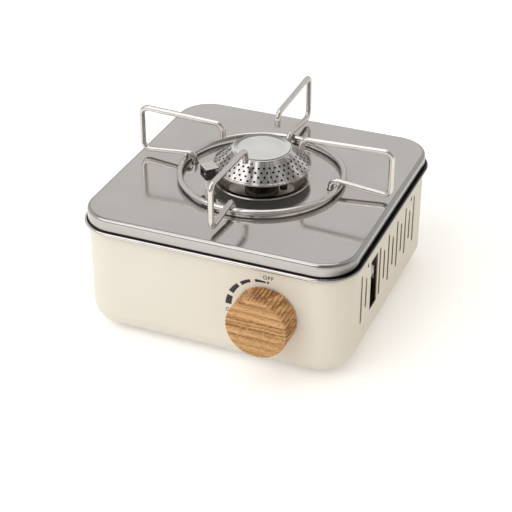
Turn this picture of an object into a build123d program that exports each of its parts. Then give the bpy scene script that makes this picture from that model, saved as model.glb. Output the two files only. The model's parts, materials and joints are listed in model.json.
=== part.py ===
from build123d import *
import math
import os

# Tabletop gas stove for a cassette can: a drawn steel tub, a pressed top plate, one burner
# and a lift-off pan support.  Millimetres, +Z up, +X right of the front, front face at -Y,
# origin on the table at the centre of the tub.

os.makedirs("parts", exist_ok=True)

# ---------------------------------------------------------------- driving dimensions
# housing
plate_width = 200.0
plate_depth = 198.5
plate_corner = 25.4
plate_top = 95.3
plate_t = 0.8
plate_edge_radius = 2.6
plate_skirt_gap = 0.15
flange_height = 9.4
wall_t = 0.8
lip_width = 5.0
lip_inner_radius = 1.2
foot_height = 3.0
base_radius = 15.0
bead_wire = 2.9
bead_reach = 2.5
bead_gap = 0.35
bead_web = 0.8

# side vents, their window, the clip slots and the vents in the floor
vent_count = 13
vent_pitch = 10.0
vent_width = 3.2
vent_long = 38.6
vent_short = 24.0
vent_z = 50.9
vent_y = -2.8
window_first = 2
window_width = 14.8
window_height = 39.8
window_corner = 0.9
window_shift = 2.0
clip_y = 49.6
clip_slot_z = 71.3
clip_slot_width = 2.4
clip_slot_height = 3.2
clip_inset = 8.0
floor_vent_count = 5
floor_vent_pitch = 14.0
floor_vent_length = 46.0
floor_vent_width = 3.0

# burner
bowl_rim_radius = 35.3
bowl_hole_radius = 32.9
bowl_floor_radius = 24.0
bowl_depth = 9.8
bowl_t = 0.6
neck_radius = 11.8
neck_bore = 9.5
neck_flange = 19.5
neck_top = 99.0
skirt_radius = 35.0
skirt_bottom = 106.25
skirt_top_radius = 22.0
skirt_top = 118.2
skirt_t = 0.7
skirt_roll = 0.95
skirt_lip = 4.0
cap_radius = 21.5
cap_flat_radius = 16.2
cap_rim_radius = 20.5
cap_height = 1.1
cap_sink = 0.9
port_rows = 4
port_count = 42
port_diameter = 1.7
port_low = 108.1
port_high = 114.9
pip_count = 5
pip_radius = 1.2
pip_angle = -86.0
pip_z = 116.9
burner_screw_radius = 16.05
mixer_z = 74.0
mixer_radius = 8.0
mixer_throat = 6.0
mixer_t = 0.8
mixer_taper_start = 0.76
mixer_throat_start = 0.64
mixer_throat_end = 0.5
air_window = 9.0

# pan support
support_wire = 4.2
ring_wire = 4.4
ring_radius = 59.3
ring_gap = 1.2
leg_radius = 52.9
loop_tip_radius = 30.2
loop_tip = 121.0
loop_inner_top = 131.1
loop_outer_top = 133.4
loop_outer_low = 99.65
reach_right = 97.0
reach_left = 94.8
reach_front = 90.3
reach_back = 95.8
loop_bend = 5.2
loop_lean = 0.8
weld_gap = 0.02
pocket_depth = 6.0
pocket_clearance = 0.7
weld_radius = 1.5

# knob, spindle and trip cam
knob_offset = 12.3
knob_z = 47.1
knob_radius = 22.3
knob_thickness = 19.0
knob_gap = 1.0
knob_edge = 0.9
knob_ribs = 48
knob_groove_radius = 0.9
knob_rib_depth = 0.6
spindle_diameter = 8.0
spindle_flat = 3.0
running_clearance = 0.05
insert_radius = 7.0
insert_length = 13.0
bush_wall = 1.6
bush_flange = 2.4
cam_radius = 10.0
cam_lift = 5.0
cam_turn = 110.0
cam_dwell = 12.0
cam_thickness = 5.0
spindle_end_gap = 1.0

# gas can bay
can_diameter = 68.4
can_clearance = 1.3
cradle_t = 1.0
cradle_lift = 3.75
cradle_setback = 18.0
cradle_end_gap = 31.5
cradle_angle = 65.0
cradle_ridge = 1.3
seat_t = 1.2
seat_reach = 32.0
seat_top = 74.0
seat_chamfer = 8.0
seat_screw_spread = 40.0
cheek_gap = 4.1
floor_screw_inset = 12.0
seat_foot = 11.0
rail_t = 1.0
rail_half = 10.0
rail_lead = 3.0
rail_end_gap = 6.0
shield_t = 0.6
shield_top = 82.0
shield_foot = 7.0
shield_front_gap = 6.0
shield_back_gap = 17.5

# lock lever
lever_setback = 8.0
lever_pivot_z = 54.0
lever_tab_offset = 6.8
lever_drop = 12.0
lever_turn = 34.0
lever_t = 1.2
lever_width = 8.0
lever_pin_diameter = 4.0
drive_pin_diameter = 3.0
lever_tab_depth = 1.7
lever_tab_height = 10.0
lever_gap = 0.9
lever_wall_gap = 1.35
ear_top = 49.0
ear_t = 1.0
ear_gap = 0.6
ear_slot_spare = 0.01

# regulator and gas line
regulator_width = 42.0
regulator_height = 34.0
regulator_depth = 25.5
regulator_bore = 12.0
regulator_gap = 1.5
cover_height = 11.0
cover_inset = 2.0
lug_inset = 7.0
lug_rise = 3.5
lug_shift = 4.0
lug_size = 8.0
lug_t = 2.0
nipple_radius = 4.4
inlet_collar = 1.0
pipe_diameter = 5.0
pipe_setback = 18.0
pipe_straight = 5.0
pipe_z = 56.0
pipe_bend = 8.0
jet_length = 9.0
jet_radius = 4.2

# igniter
piezo_size = 11.0
piezo_length = 26.0
piezo_wall_gap = 0.5
plunger_diameter = 5.2
plunger_spare = 3.0
plunger_end_gap = 1.0
cam_gap = 0.4
bracket_t = 1.0
spark_radius = 41.9
spark_angle = 226.6
insulator_radius = 2.5
insulator_top = 104.2
insulator_bottom = 84.0
insulator_collar = 5.0
rod_radius = 0.9
rod_top = 108.5
rod_bottom = 80.0
hood_width = 11.5
hood_depth = 7.9
hood_height = 8.4
hood_bottom = 104.3
hood_t = 0.6
hood_corner = 1.1
hood_roof = 2.4
hood_window = 0.72
wire_radius = 1.3
wire_bend = 7.0
wire_z = 89.6
wire_low = 68.0

# small parts
foot_radius = 6.5
foot_inset = 27.0
foot_stem = 2.4
foot_button = 3.6
screw_radius = 1.5
screw_head = 2.8
screw_head_height = 1.6
seat_clearance = 0.05
loose_clearance = 0.4

# ---------------------------------------------------------------- derived places
wall_inset = plate_t + plate_skirt_gap
body_width = plate_width - 2 * wall_inset
body_depth = plate_depth - 2 * wall_inset
body_corner = plate_corner - wall_inset
plate_under = plate_top - plate_t
floor_top = foot_height + wall_t
wall_x = body_width / 2
wall_y = body_depth / 2
inside_x = wall_x - wall_t
inside_y = wall_y - wall_t
lip_radius = wall_t + lip_inner_radius
bead_top = plate_top - flange_height - bead_gap
bead_low = bead_top - bead_wire
spindle_radius = spindle_diameter / 2
spindle_bore = spindle_radius + running_clearance
bush_radius = spindle_bore + bush_wall
knob_back = -wall_y - knob_gap
knob_face = knob_back - knob_thickness
can_bore = can_diameter / 2 + can_clearance
lever_room = lever_wall_gap + lever_tab_depth + lever_t + lever_gap + ear_t + ear_gap
can_x = inside_x - lever_room - can_bore
knob_x = can_x - knob_offset
cradle_inner = can_diameter / 2 + can_clearance / 2
cradle_outer = cradle_inner + cradle_t
can_z = floor_top + rail_t + screw_head_height + cradle_lift + cradle_outer
bowl_floor = plate_top - bowl_depth
bowl_under = bowl_floor - bowl_t
dish_top = skirt_bottom - skirt_roll
dish_under = dish_top - bowl_t
ring_z = plate_top + ring_gap + ring_wire / 2
pocket_radius = support_wire / 2 + pocket_clearance
pocket_floor = plate_top - pocket_depth
cam_y = -inside_y + piezo_wall_gap + piezo_size / 2
seat_y = cam_y + cam_thickness / 2 + regulator_gap + regulator_depth
regulator_front = seat_y - regulator_depth
regulator_mid = seat_y - regulator_depth / 2
regulator_left = knob_x - regulator_width / 2
regulator_top = knob_z + regulator_height / 2
regulator_low = knob_z - regulator_height / 2
seat_back = seat_y + seat_t
pipe_y = seat_y - pipe_setback
mixer_front = pipe_y + pipe_bend + pipe_straight + jet_length
cradle_front = seat_y + cradle_setback
cradle_back = inside_y - cradle_end_gap
rail_start = cradle_front - rail_lead
rail_end = cradle_back - rail_end_gap
shield_start = seat_y + shield_front_gap
shield_end = inside_y - shield_back_gap
plunger_tip = knob_z + cam_radius + cam_gap
piezo_bottom = plunger_tip + cam_lift + plunger_spare
piezo_top = piezo_bottom + piezo_length
spark_x = spark_radius * math.cos(math.radians(spark_angle))
spark_y = spark_radius * math.sin(math.radians(spark_angle))
foot_x = wall_x - foot_inset
foot_y = wall_y - foot_inset
ear_x = can_x + can_bore + ear_gap
lever_x = ear_x + ear_t + lever_gap
cheek_x = ear_x - cheek_gap
lever_pivot_y = seat_y - lever_setback
drive_angle = math.radians(lever_turn / 2)
drive_y = lever_pivot_y + lever_drop * math.sin(drive_angle)
drive_z = lever_pivot_z - lever_drop * math.cos(drive_angle)
drive_low = lever_pivot_z - lever_drop
cradle_travel = 2 * lever_drop * math.sin(drive_angle)
screw_bore = screw_radius + seat_clearance
foot_places = [(foot_x, foot_y), (foot_x, -foot_y), (-foot_x, foot_y), (-foot_x, -foot_y)]
window_y = vent_y + (window_first + 0.5 - (vent_count - 1) / 2) * vent_pitch + window_shift
window_z = vent_z + (vent_long - window_height) / 2
lever_reach = window_y + lever_tab_offset - lever_pivot_y
seat_screw_y = seat_back + seat_foot / 2
seat_screws = [(can_x - seat_screw_spread / 2, seat_screw_y), (can_x + seat_screw_spread / 2, seat_screw_y)]
rail_screws = [(can_x, rail_start + floor_screw_inset), (can_x, rail_end - floor_screw_inset)]
shield_x = can_x - can_bore - shield_t
rivet_x = shield_x - shield_foot / 2
shield_rivets = [(rivet_x, shield_start + floor_screw_inset), (rivet_x, shield_end - floor_screw_inset)]
lug_places = [
    (regulator_left + lug_inset, regulator_top + lug_rise),
    (can_x, regulator_top + lug_rise),
    (can_x + lug_shift, regulator_low - lug_rise),
]


def vent_slots(side):
    """Centres and lengths of the vents of one side wall, as (y, length) pairs."""
    slots = []
    for index in range(vent_count):
        y = vent_y + (index - (vent_count - 1) / 2) * vent_pitch
        in_window = side > 0 and window_first <= index < window_first + 2
        if not in_window:
            slots.append((y, vent_long if index % 2 == 0 else vent_short))
    return slots


def cone_radius(z):
    """Outside radius of the burner cone at a height."""
    return skirt_radius + (z - skirt_bottom) / (skirt_top - skirt_bottom) * (skirt_top_radius - skirt_radius)


# ---------------------------------------------------------------- housing
with BuildPart() as tub_space:
    with BuildSketch(Plane.XY.offset(floor_top)):
        RectangleRounded(body_width - 2 * wall_t, body_depth - 2 * wall_t, body_corner - wall_t)
    extrude(amount=plate_under - wall_t - floor_top)
    fillet(tub_space.faces().sort_by(Axis.Z)[0].edges(), base_radius - wall_t)
    fillet(tub_space.faces().sort_by(Axis.Z)[-1].edges(), lip_radius - wall_t)

with BuildPart() as body_shell:
    with BuildSketch(Plane.XY.offset(foot_height)):
        RectangleRounded(body_width, body_depth, body_corner)
    extrude(amount=plate_under - foot_height)
    fillet(body_shell.faces().sort_by(Axis.Z)[0].edges(), base_radius)
    fillet(body_shell.faces().sort_by(Axis.Z)[-1].edges(), lip_radius)
    add(tub_space.part, mode=Mode.SUBTRACT)
    with BuildSketch(Plane.XY.offset(plate_under)):
        lip = wall_t + lip_width
        RectangleRounded(body_width - 2 * lip, body_depth - 2 * lip, body_corner - lip)
    extrude(amount=-2 * wall_t, mode=Mode.SUBTRACT)
    for side in (-1, 1):
        with BuildSketch(Plane.YZ.offset(side * wall_x)):
            for y, length in vent_slots(side):
                with Locations((y, vent_z)):
                    SlotOverall(length, vent_width, rotation=90)
            with Locations((clip_y, clip_slot_z), (-clip_y, clip_slot_z)):
                Rectangle(clip_slot_width, clip_slot_height)
        extrude(amount=-2 * side * wall_t, mode=Mode.SUBTRACT)
    with BuildSketch(Plane.YZ.offset(wall_x)):
        with Locations((window_y, window_z)):
            RectangleRounded(window_width, window_height, window_corner)
    extrude(amount=-2 * wall_t, mode=Mode.SUBTRACT)
    with BuildSketch(Plane.XZ.offset(wall_y)):
        with Locations((knob_x, knob_z)):
            Circle(bush_radius)
    extrude(amount=-2 * wall_t, mode=Mode.SUBTRACT)
    with BuildSketch(Plane.XZ.offset(-wall_y)):
        with Locations((can_x, can_z)):
            Circle(can_bore)
    extrude(amount=base_radius, mode=Mode.SUBTRACT)
    with BuildSketch(Plane.XY.offset(foot_height)):
        with Locations(*foot_places):
            Circle(foot_stem)
        with Locations((-can_x + floor_vent_pitch, 0)):
            with GridLocations(floor_vent_pitch, 0, floor_vent_count, 1):
                SlotOverall(floor_vent_length, floor_vent_width, rotation=90)
        with Locations(*seat_screws, *rail_screws, *shield_rivets):
            Circle(screw_radius)
    extrude(amount=2 * wall_t, mode=Mode.SUBTRACT)
body_shell.part.label = "body_shell"

with BuildPart() as plate_space:
    with BuildSketch(Plane.XY.offset(plate_under)):
        RectangleRounded(plate_width - 2 * plate_t, plate_depth - 2 * plate_t, plate_corner - plate_t)
    extrude(amount=-2 * flange_height)
    fillet(plate_space.faces().sort_by(Axis.Z)[-1].edges(), plate_edge_radius - plate_t)

with BuildPart() as top_plate:
    with BuildSketch(Plane.XY.offset(plate_top)):
        RectangleRounded(plate_width, plate_depth, plate_corner)
    extrude(amount=-flange_height)
    fillet(top_plate.faces().sort_by(Axis.Z)[-1].edges(), plate_edge_radius)
    add(plate_space.part, mode=Mode.SUBTRACT)
    with BuildSketch(Plane.XY.offset(pocket_floor - plate_t)):
        with PolarLocations(leg_radius, 4):
            Circle(pocket_radius + plate_t)
    extrude(amount=pocket_depth)
    with BuildSketch(Plane.XY.offset(pocket_floor)):
        with PolarLocations(leg_radius, 4):
            Circle(pocket_radius)
    extrude(amount=pocket_depth, mode=Mode.SUBTRACT)
    with BuildSketch(Plane.XY.offset(plate_top)):
        Circle(bowl_hole_radius)
        with Locations((spark_x, spark_y)):
            Circle(insulator_radius)
    extrude(amount=-2 * plate_t, mode=Mode.SUBTRACT)
top_plate.part.label = "top_plate"

with BuildPart() as rim_bead:
    with BuildSketch(Plane.XY.offset(bead_low)):
        grow = wall_inset + bead_reach
        RectangleRounded(body_width + 2 * grow, body_depth + 2 * grow, body_corner + grow)
        grow -= bead_wire
        RectangleRounded(body_width + 2 * grow, body_depth + 2 * grow, body_corner + grow, mode=Mode.SUBTRACT)
    extrude(amount=bead_wire)
    fillet(rim_bead.faces().filter_by(Axis.Z).edges(), 0.48 * bead_wire)
    with BuildSketch(Plane.XY.offset(bead_low)):
        grow = wall_inset + bead_reach - bead_wire / 2
        RectangleRounded(body_width + 2 * grow, body_depth + 2 * grow, body_corner + grow)
        RectangleRounded(body_width, body_depth, body_corner, mode=Mode.SUBTRACT)
    extrude(amount=bead_web)
rim_bead.part.label = "rim_bead"

with BuildPart() as rubber_feet:
    with BuildSketch(Plane.XY):
        with Locations(*foot_places):
            Circle(foot_radius)
    extrude(amount=foot_height)
    with BuildSketch(Plane.XY.offset(foot_height)):
        with Locations(*foot_places):
            Circle(foot_stem)
    extrude(amount=wall_t)
    with BuildSketch(Plane.XY.offset(floor_top)):
        with Locations(*foot_places):
            Circle(foot_button)
    extrude(amount=foot_height / 2, taper=20)
rubber_feet.part.label = "rubber_feet"

with BuildPart() as plate_clips:
    clip_width = clip_slot_width - loose_clearance
    clip_inner = inside_x - clip_inset
    clip_low = clip_slot_z - wall_t / 2
    for side in (-1, 1):
        for y in (-clip_y, clip_y):
            with BuildSketch(Plane.XZ.offset(-y - clip_width / 2)):
                with BuildLine():
                    Polyline(
                        (side * (clip_inner - clip_inset), plate_under),
                        (side * clip_inner, plate_under),
                        (side * clip_inner, clip_low + wall_t),
                        (side * wall_x, clip_low + wall_t),
                        (side * wall_x, clip_low),
                        (side * (clip_inner - wall_t), clip_low),
                        (side * (clip_inner - wall_t), plate_under - wall_t),
                        (side * (clip_inner - clip_inset), plate_under - wall_t),
                        close=True,
                    )
                make_face()
            extrude(amount=clip_width)
plate_clips.part.label = "plate_clips"

# ---------------------------------------------------------------- burner
with BuildPart() as drip_bowl:
    with BuildSketch(Plane.XZ):
        with BuildLine():
            Polyline(
                (neck_radius, bowl_under),
                (bowl_floor_radius, bowl_under),
                (bowl_hole_radius, plate_under - bowl_t),
                (bowl_hole_radius, plate_top),
                (bowl_rim_radius, plate_top),
                (bowl_rim_radius, plate_top + bowl_t),
                (bowl_hole_radius - bowl_t, plate_top + bowl_t),
                (bowl_hole_radius - bowl_t, plate_under - bowl_t / 2),
                (bowl_floor_radius - bowl_t / 2, bowl_floor),
                (neck_radius, bowl_floor),
                close=True,
            )
        make_face()
    revolve(axis=Axis.Z)
    with BuildSketch(Plane.XY.offset(bowl_under)):
        with PolarLocations(burner_screw_radius, 3, start_angle=30):
            Circle(screw_radius)
    extrude(amount=2 * bowl_t, mode=Mode.SUBTRACT)
drip_bowl.part.label = "drip_bowl"

with BuildPart() as mixing_tube:
    with BuildSketch(Plane.XY.offset(mixer_z - mixer_radius)):
        Circle(neck_radius)
    extrude(amount=neck_top - mixer_z + mixer_radius)
    with BuildSketch(Plane.XY.offset(bowl_under)):
        Circle(neck_flange)
    extrude(amount=-2 * mixer_t)
    tube_plane = Plane(origin=(0, 0, mixer_z), x_dir=(1, 0, 0), z_dir=(0, 0, 1))
    with BuildSketch(tube_plane):
        with BuildLine():
            Polyline(
                (0, mixer_front),
                (mixer_radius, mixer_front),
                (mixer_radius, mixer_taper_start * mixer_front),
                (mixer_throat + mixer_t, mixer_throat_start * mixer_front),
                (mixer_throat + mixer_t, mixer_throat_end * mixer_front),
                (mixer_radius, 0),
                (0, 0),
                close=True,
            )
        make_face()
    revolve(axis=Axis((0, 0, mixer_z), (0, 1, 0)))
    with BuildSketch(tube_plane):
        with BuildLine():
            Polyline(
                (0, mixer_front + 2 * mixer_t),
                (mixer_radius - mixer_t, mixer_front + 2 * mixer_t),
                (mixer_radius - mixer_t, mixer_taper_start * mixer_front),
                (mixer_throat, mixer_throat_start * mixer_front),
                (mixer_throat, mixer_throat_end * mixer_front),
                (mixer_radius - mixer_t, 0),
                (0, 0),
                close=True,
            )
        make_face()
    revolve(axis=Axis((0, 0, mixer_z), (0, 1, 0)), mode=Mode.SUBTRACT)
    with BuildSketch(Plane.XY.offset(neck_top)):
        Circle(neck_bore)
    extrude(amount=-(neck_top - mixer_z + mixer_radius - 2 * mixer_t), mode=Mode.SUBTRACT)
    with BuildSketch(Plane.YZ.offset(-mixer_radius)):
        with Locations((mixer_front + 2 * mixer_t + air_window / 2, mixer_z)):
            Rectangle(air_window * 0.9, mixer_radius)
    extrude(amount=2 * mixer_radius, mode=Mode.SUBTRACT)
    with BuildSketch(Plane.XZ.offset(-mixer_front)):
        with Locations((0, mixer_z)):
            Circle(jet_radius / 2)
    extrude(amount=-2 * mixer_t, mode=Mode.SUBTRACT)
    with BuildSketch(Plane.XY.offset(bowl_under)):
        with PolarLocations(burner_screw_radius, 3, start_angle=30):
            Circle(screw_radius)
    extrude(amount=-2 * mixer_t, mode=Mode.SUBTRACT)
mixing_tube.part.label = "mixing_tube"

with BuildPart() as burner_screws:
    with BuildSketch(Plane.XY.offset(bowl_under - 2 * mixer_t)):
        with PolarLocations(burner_screw_radius, 3, start_angle=30):
            Circle(screw_radius)
    extrude(amount=2 * mixer_t + bowl_t)
    with BuildSketch(Plane.XY.offset(bowl_floor)):
        with PolarLocations(burner_screw_radius, 3, start_angle=30):
            Circle(screw_head)
    extrude(amount=screw_head_height)
burner_screws.part.label = "burner_screws"

with BuildPart() as burner_base:
    with BuildSketch(Plane.XZ):
        with BuildLine():
            Polyline(
                (neck_bore, neck_top),
                (neck_radius, neck_top),
                (neck_radius, bowl_floor + screw_head_height),
                (neck_radius + bowl_t, bowl_floor + screw_head_height),
                (neck_radius + bowl_t, neck_top),
                (skirt_radius - 2 * skirt_lip, dish_under),
                (skirt_radius - skirt_roll, dish_under),
                (skirt_radius - skirt_roll, dish_top),
                (skirt_radius - 2 * skirt_lip, dish_top),
                (neck_radius + bowl_t, neck_top + bowl_t),
                (neck_bore, neck_top + bowl_t),
                close=True,
            )
        make_face()
    revolve(axis=Axis.Z)
burner_base.part.label = "burner_base"

with BuildPart() as burner_skirt:
    with BuildSketch(Plane.XZ):
        with BuildLine():
            Polyline(
                (skirt_radius - skirt_t, skirt_bottom),
                (skirt_radius, skirt_bottom),
                (skirt_top_radius, skirt_top),
                (skirt_top_radius - skirt_lip, skirt_top),
                (skirt_top_radius - skirt_lip, skirt_top - skirt_t),
                (skirt_top_radius - skirt_t, skirt_top - skirt_t),
                close=True,
            )
        make_face()
        with Locations((skirt_radius - skirt_t / 2, skirt_bottom)):
            Circle(skirt_roll)
    revolve(axis=Axis.Z)
    slope = math.degrees(math.atan2(skirt_radius - skirt_top_radius, skirt_top - skirt_bottom))
    port_step = 360 / port_count
    for row in range(port_rows):
        z = port_low + row * (port_high - port_low) / (port_rows - 1)
        r = cone_radius(z)
        row_start = port_step / 2 * (row % 2)
        with Locations(
            *[
                Rotation(0, 0, row_start + i * port_step) * Location((r, 0, z), (0, 90 - slope, 0))
                for i in range(port_count)
            ]
        ):
            Cylinder(port_diameter / 2, 4 * skirt_t, mode=Mode.SUBTRACT)
    for pip in range(pip_count):
        spot = Location((cone_radius(pip_z) - skirt_t / 2, 0, pip_z))
        with Locations(Rotation(0, 0, pip_angle + 360 * pip / pip_count) * spot):
            Sphere(pip_radius)
burner_skirt.part.label = "burner_skirt"

with BuildPart() as burner_cap:
    cap_top = skirt_top + cap_height
    with BuildSketch(Plane.XZ):
        with BuildLine():
            Polyline(
                (cap_rim_radius, cap_top),
                (cap_flat_radius, cap_top - cap_sink),
                (0, cap_top - cap_sink),
                (0, skirt_top),
                (cap_radius, skirt_top),
            )
            RadiusArc((cap_radius, skirt_top), (cap_rim_radius, cap_top), cap_radius - cap_rim_radius)
        make_face()
    revolve(axis=Axis.Z)
burner_cap.part.label = "burner_cap"

# ---------------------------------------------------------------- gas line
with BuildPart() as regulator_body:
    with BuildSketch(Plane.XZ.offset(-seat_y)):
        with Locations((knob_x, knob_z)):
            RectangleRounded(regulator_width, regulator_height, 3 * bracket_t)
    extrude(amount=regulator_depth)
    with BuildSketch(Plane.XZ.offset(-seat_y)):
        with Locations(*lug_places):
            RectangleRounded(lug_size, lug_size, lug_size / 4)
    extrude(amount=lug_t)
    with BuildSketch(Plane.XZ.offset(-seat_y)):
        with Locations(*lug_places):
            Circle(screw_radius)
    extrude(amount=lug_t, mode=Mode.SUBTRACT)
    with BuildSketch(Plane.XZ.offset(-regulator_front)):
        with Locations((knob_x, knob_z)):
            Circle(spindle_bore)
    extrude(amount=-regulator_bore, mode=Mode.SUBTRACT)
    with BuildSketch(Plane.XY.offset(regulator_top)):
        with Locations((knob_x, regulator_mid)):
            Circle(screw_radius)
    extrude(amount=-2 * screw_radius, mode=Mode.SUBTRACT)
regulator_body.part.label = "regulator_body"

with BuildPart() as regulator_cover:
    with BuildSketch(Plane.XY.offset(regulator_low)):
        with Locations((regulator_left + regulator_depth / 2 + cover_inset, regulator_mid)):
            Circle(regulator_depth / 2 - loose_clearance)
    extrude(amount=-cover_height)
    fillet(regulator_cover.faces().sort_by(Axis.Z)[0].edges(), cover_height / 4)
regulator_cover.part.label = "regulator_cover"

with BuildPart() as regulator_screws:
    with BuildSketch(Plane.XZ.offset(-seat_back)):
        with Locations(*lug_places):
            Circle(screw_radius)
    extrude(amount=seat_t + lug_t)
    with BuildSketch(Plane.XZ.offset(-seat_y + lug_t)):
        with Locations(*lug_places):
            Circle(screw_head)
    extrude(amount=screw_head_height)
regulator_screws.part.label = "regulator_screws"

with BuildPart() as can_inlet:
    with BuildSketch(Plane.XZ.offset(-seat_y)):
        with Locations((can_x, can_z)):
            Circle(1.5 * nipple_radius)
    extrude(amount=-(seat_t + inlet_collar))
    with BuildSketch(Plane.XZ.offset(-seat_back - inlet_collar + seat_clearance)):
        with Locations((can_x, can_z)):
            Circle(nipple_radius)
    extrude(amount=-1.4 * nipple_radius)
    with BuildSketch(Plane.XZ.offset(-seat_y)):
        with Locations((can_x, can_z)):
            Circle(nipple_radius / 4)
    extrude(amount=-3 * nipple_radius, mode=Mode.SUBTRACT)
can_inlet.part.label = "can_inlet"

with BuildPart() as inlet_seal:
    seal_wire = 1.0
    seal_plane = Plane(origin=(can_x, seat_back + inlet_collar + seal_wire, can_z), z_dir=(1, 0, 0), x_dir=(0, 1, 0))
    with BuildSketch(seal_plane):
        with Locations((0, nipple_radius + seal_wire)):
            Circle(seal_wire)
    revolve(axis=Axis((can_x, seat_back, can_z), (0, 1, 0)))
inlet_seal.part.label = "inlet_seal"

with BuildPart() as gas_pipe:
    with BuildLine() as pipe_run:
        FilletPolyline(
            (regulator_left, pipe_y, pipe_z),
            (0, pipe_y, pipe_z),
            (0, pipe_y, mixer_z),
            (0, mixer_front - jet_length, mixer_z),
            radius=pipe_bend,
        )
    with BuildSketch(Plane(origin=pipe_run.line @ 0, z_dir=pipe_run.line % 0)):
        Circle(pipe_diameter / 2)
    sweep()
gas_pipe.part.label = "gas_pipe"

with BuildPart() as gas_jet:
    with BuildSketch(Plane.XZ.offset(-mixer_front)):
        with Locations((0, mixer_z)):
            RegularPolygon(jet_radius, 6)
    extrude(amount=jet_length)
    with BuildSketch(Plane.XZ.offset(-mixer_front)):
        with Locations((0, mixer_z)):
            Circle(jet_radius / 2)
    extrude(amount=-3 * mixer_t)
gas_jet.part.label = "gas_jet"

# ---------------------------------------------------------------- gas can bay
with BuildPart() as can_holder_plate:
    with BuildSketch(Plane.XZ.offset(-seat_y)):
        with BuildLine():
            Polyline(
                (can_x - 0.8 * seat_reach, floor_top),
                (cheek_x - seat_chamfer, floor_top),
                (cheek_x - seat_chamfer, 6 * floor_top),
                (cheek_x, 8 * floor_top),
                (cheek_x, seat_top - seat_chamfer),
                (cheek_x - seat_chamfer, seat_top),
                (can_x - seat_reach + seat_chamfer, seat_top),
                (can_x - seat_reach, seat_top - seat_chamfer),
                (can_x - seat_reach, 6 * floor_top),
                (can_x - 0.8 * seat_reach, 5 * floor_top),
                close=True,
            )
        make_face()
        with Locations((can_x, can_z)):
            Circle(1.5 * nipple_radius + seat_clearance, mode=Mode.SUBTRACT)
        with Locations(*lug_places):
            Circle(screw_radius, mode=Mode.SUBTRACT)
    extrude(amount=-seat_t)
    with BuildSketch(Plane.XY.offset(floor_top)):
        with Locations((can_x, seat_y + seat_t / 2 + seat_foot / 2)):
            Rectangle(1.5 * seat_reach, seat_foot + seat_t)
        with Locations(*seat_screws):
            Circle(screw_radius, mode=Mode.SUBTRACT)
    extrude(amount=seat_t)
    with BuildSketch(Plane.YZ.offset(cheek_x)):
        with Locations((lever_pivot_y + lever_pin_diameter / 2, lever_pivot_z)):
            Rectangle(-2 * (lever_pivot_y + lever_pin_diameter / 2 - seat_back), 3 * lever_pin_diameter)
        with Locations((lever_pivot_y, lever_pivot_z)):
            Circle(lever_pin_diameter / 2, mode=Mode.SUBTRACT)
    extrude(amount=-seat_t)
can_holder_plate.part.label = "can_holder_plate"

with BuildPart() as holder_screws:
    with BuildSketch(Plane.XY.offset(foot_height)):
        with Locations(*seat_screws):
            Circle(screw_radius)
    extrude(amount=wall_t + seat_t)
    with BuildSketch(Plane.XY.offset(floor_top + seat_t)):
        with Locations(*seat_screws):
            Circle(screw_head)
    extrude(amount=screw_head_height)
holder_screws.part.label = "holder_screws"

with BuildPart() as cradle_rail:
    rail_top = can_z - math.sqrt(cradle_outer**2 - rail_half**2) - loose_clearance
    rail_length = rail_end - rail_start
    with BuildSketch(Plane.XY.offset(floor_top)):
        with Locations((can_x, (rail_start + rail_end) / 2)):
            Rectangle(2 * rail_half, rail_length)
        with Locations(*rail_screws):
            Circle(screw_radius, mode=Mode.SUBTRACT)
    extrude(amount=rail_t)
    with BuildSketch(Plane.XY.offset(floor_top)):
        for side in (-1, 1):
            with Locations((can_x + side * (rail_half - rail_t / 2), (rail_start + rail_end) / 2)):
                Rectangle(rail_t, rail_length)
    extrude(amount=rail_top - floor_top)
cradle_rail.part.label = "cradle_rail"

with BuildPart() as rail_fixings:
    with BuildSketch(Plane.XY.offset(foot_height)):
        with Locations(*rail_screws):
            Circle(screw_radius)
    extrude(amount=wall_t + rail_t)
    with BuildSketch(Plane.XY.offset(floor_top + rail_t)):
        with Locations(*rail_screws):
            Circle(screw_head)
    extrude(amount=screw_head_height)
rail_fixings.part.label = "rail_fixings"

with BuildPart() as heat_shield:
    shield_mid = (shield_start + shield_end) / 2
    with BuildSketch(Plane.XY.offset(floor_top)):
        with Locations((shield_x + shield_t / 2, shield_mid)):
            Rectangle(shield_t, shield_end - shield_start)
    extrude(amount=shield_top - floor_top)
    with BuildSketch(Plane.XY.offset(floor_top)):
        with Locations((shield_x - shield_foot / 2 + shield_t / 2, shield_mid)):
            Rectangle(shield_foot + shield_t, shield_end - shield_start)
        with Locations(*shield_rivets):
            Circle(screw_radius, mode=Mode.SUBTRACT)
    extrude(amount=shield_t)
heat_shield.part.label = "heat_shield"

with BuildPart() as shield_fixings:
    with BuildSketch(Plane.XY.offset(foot_height)):
        with Locations(*shield_rivets):
            Circle(screw_radius)
    extrude(amount=wall_t + shield_t)
    with BuildSketch(Plane.XY.offset(floor_top + shield_t)):
        with Locations(*shield_rivets):
            Circle(screw_head)
    extrude(amount=screw_head_height / 2)
shield_fixings.part.label = "shield_fixings"

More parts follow.
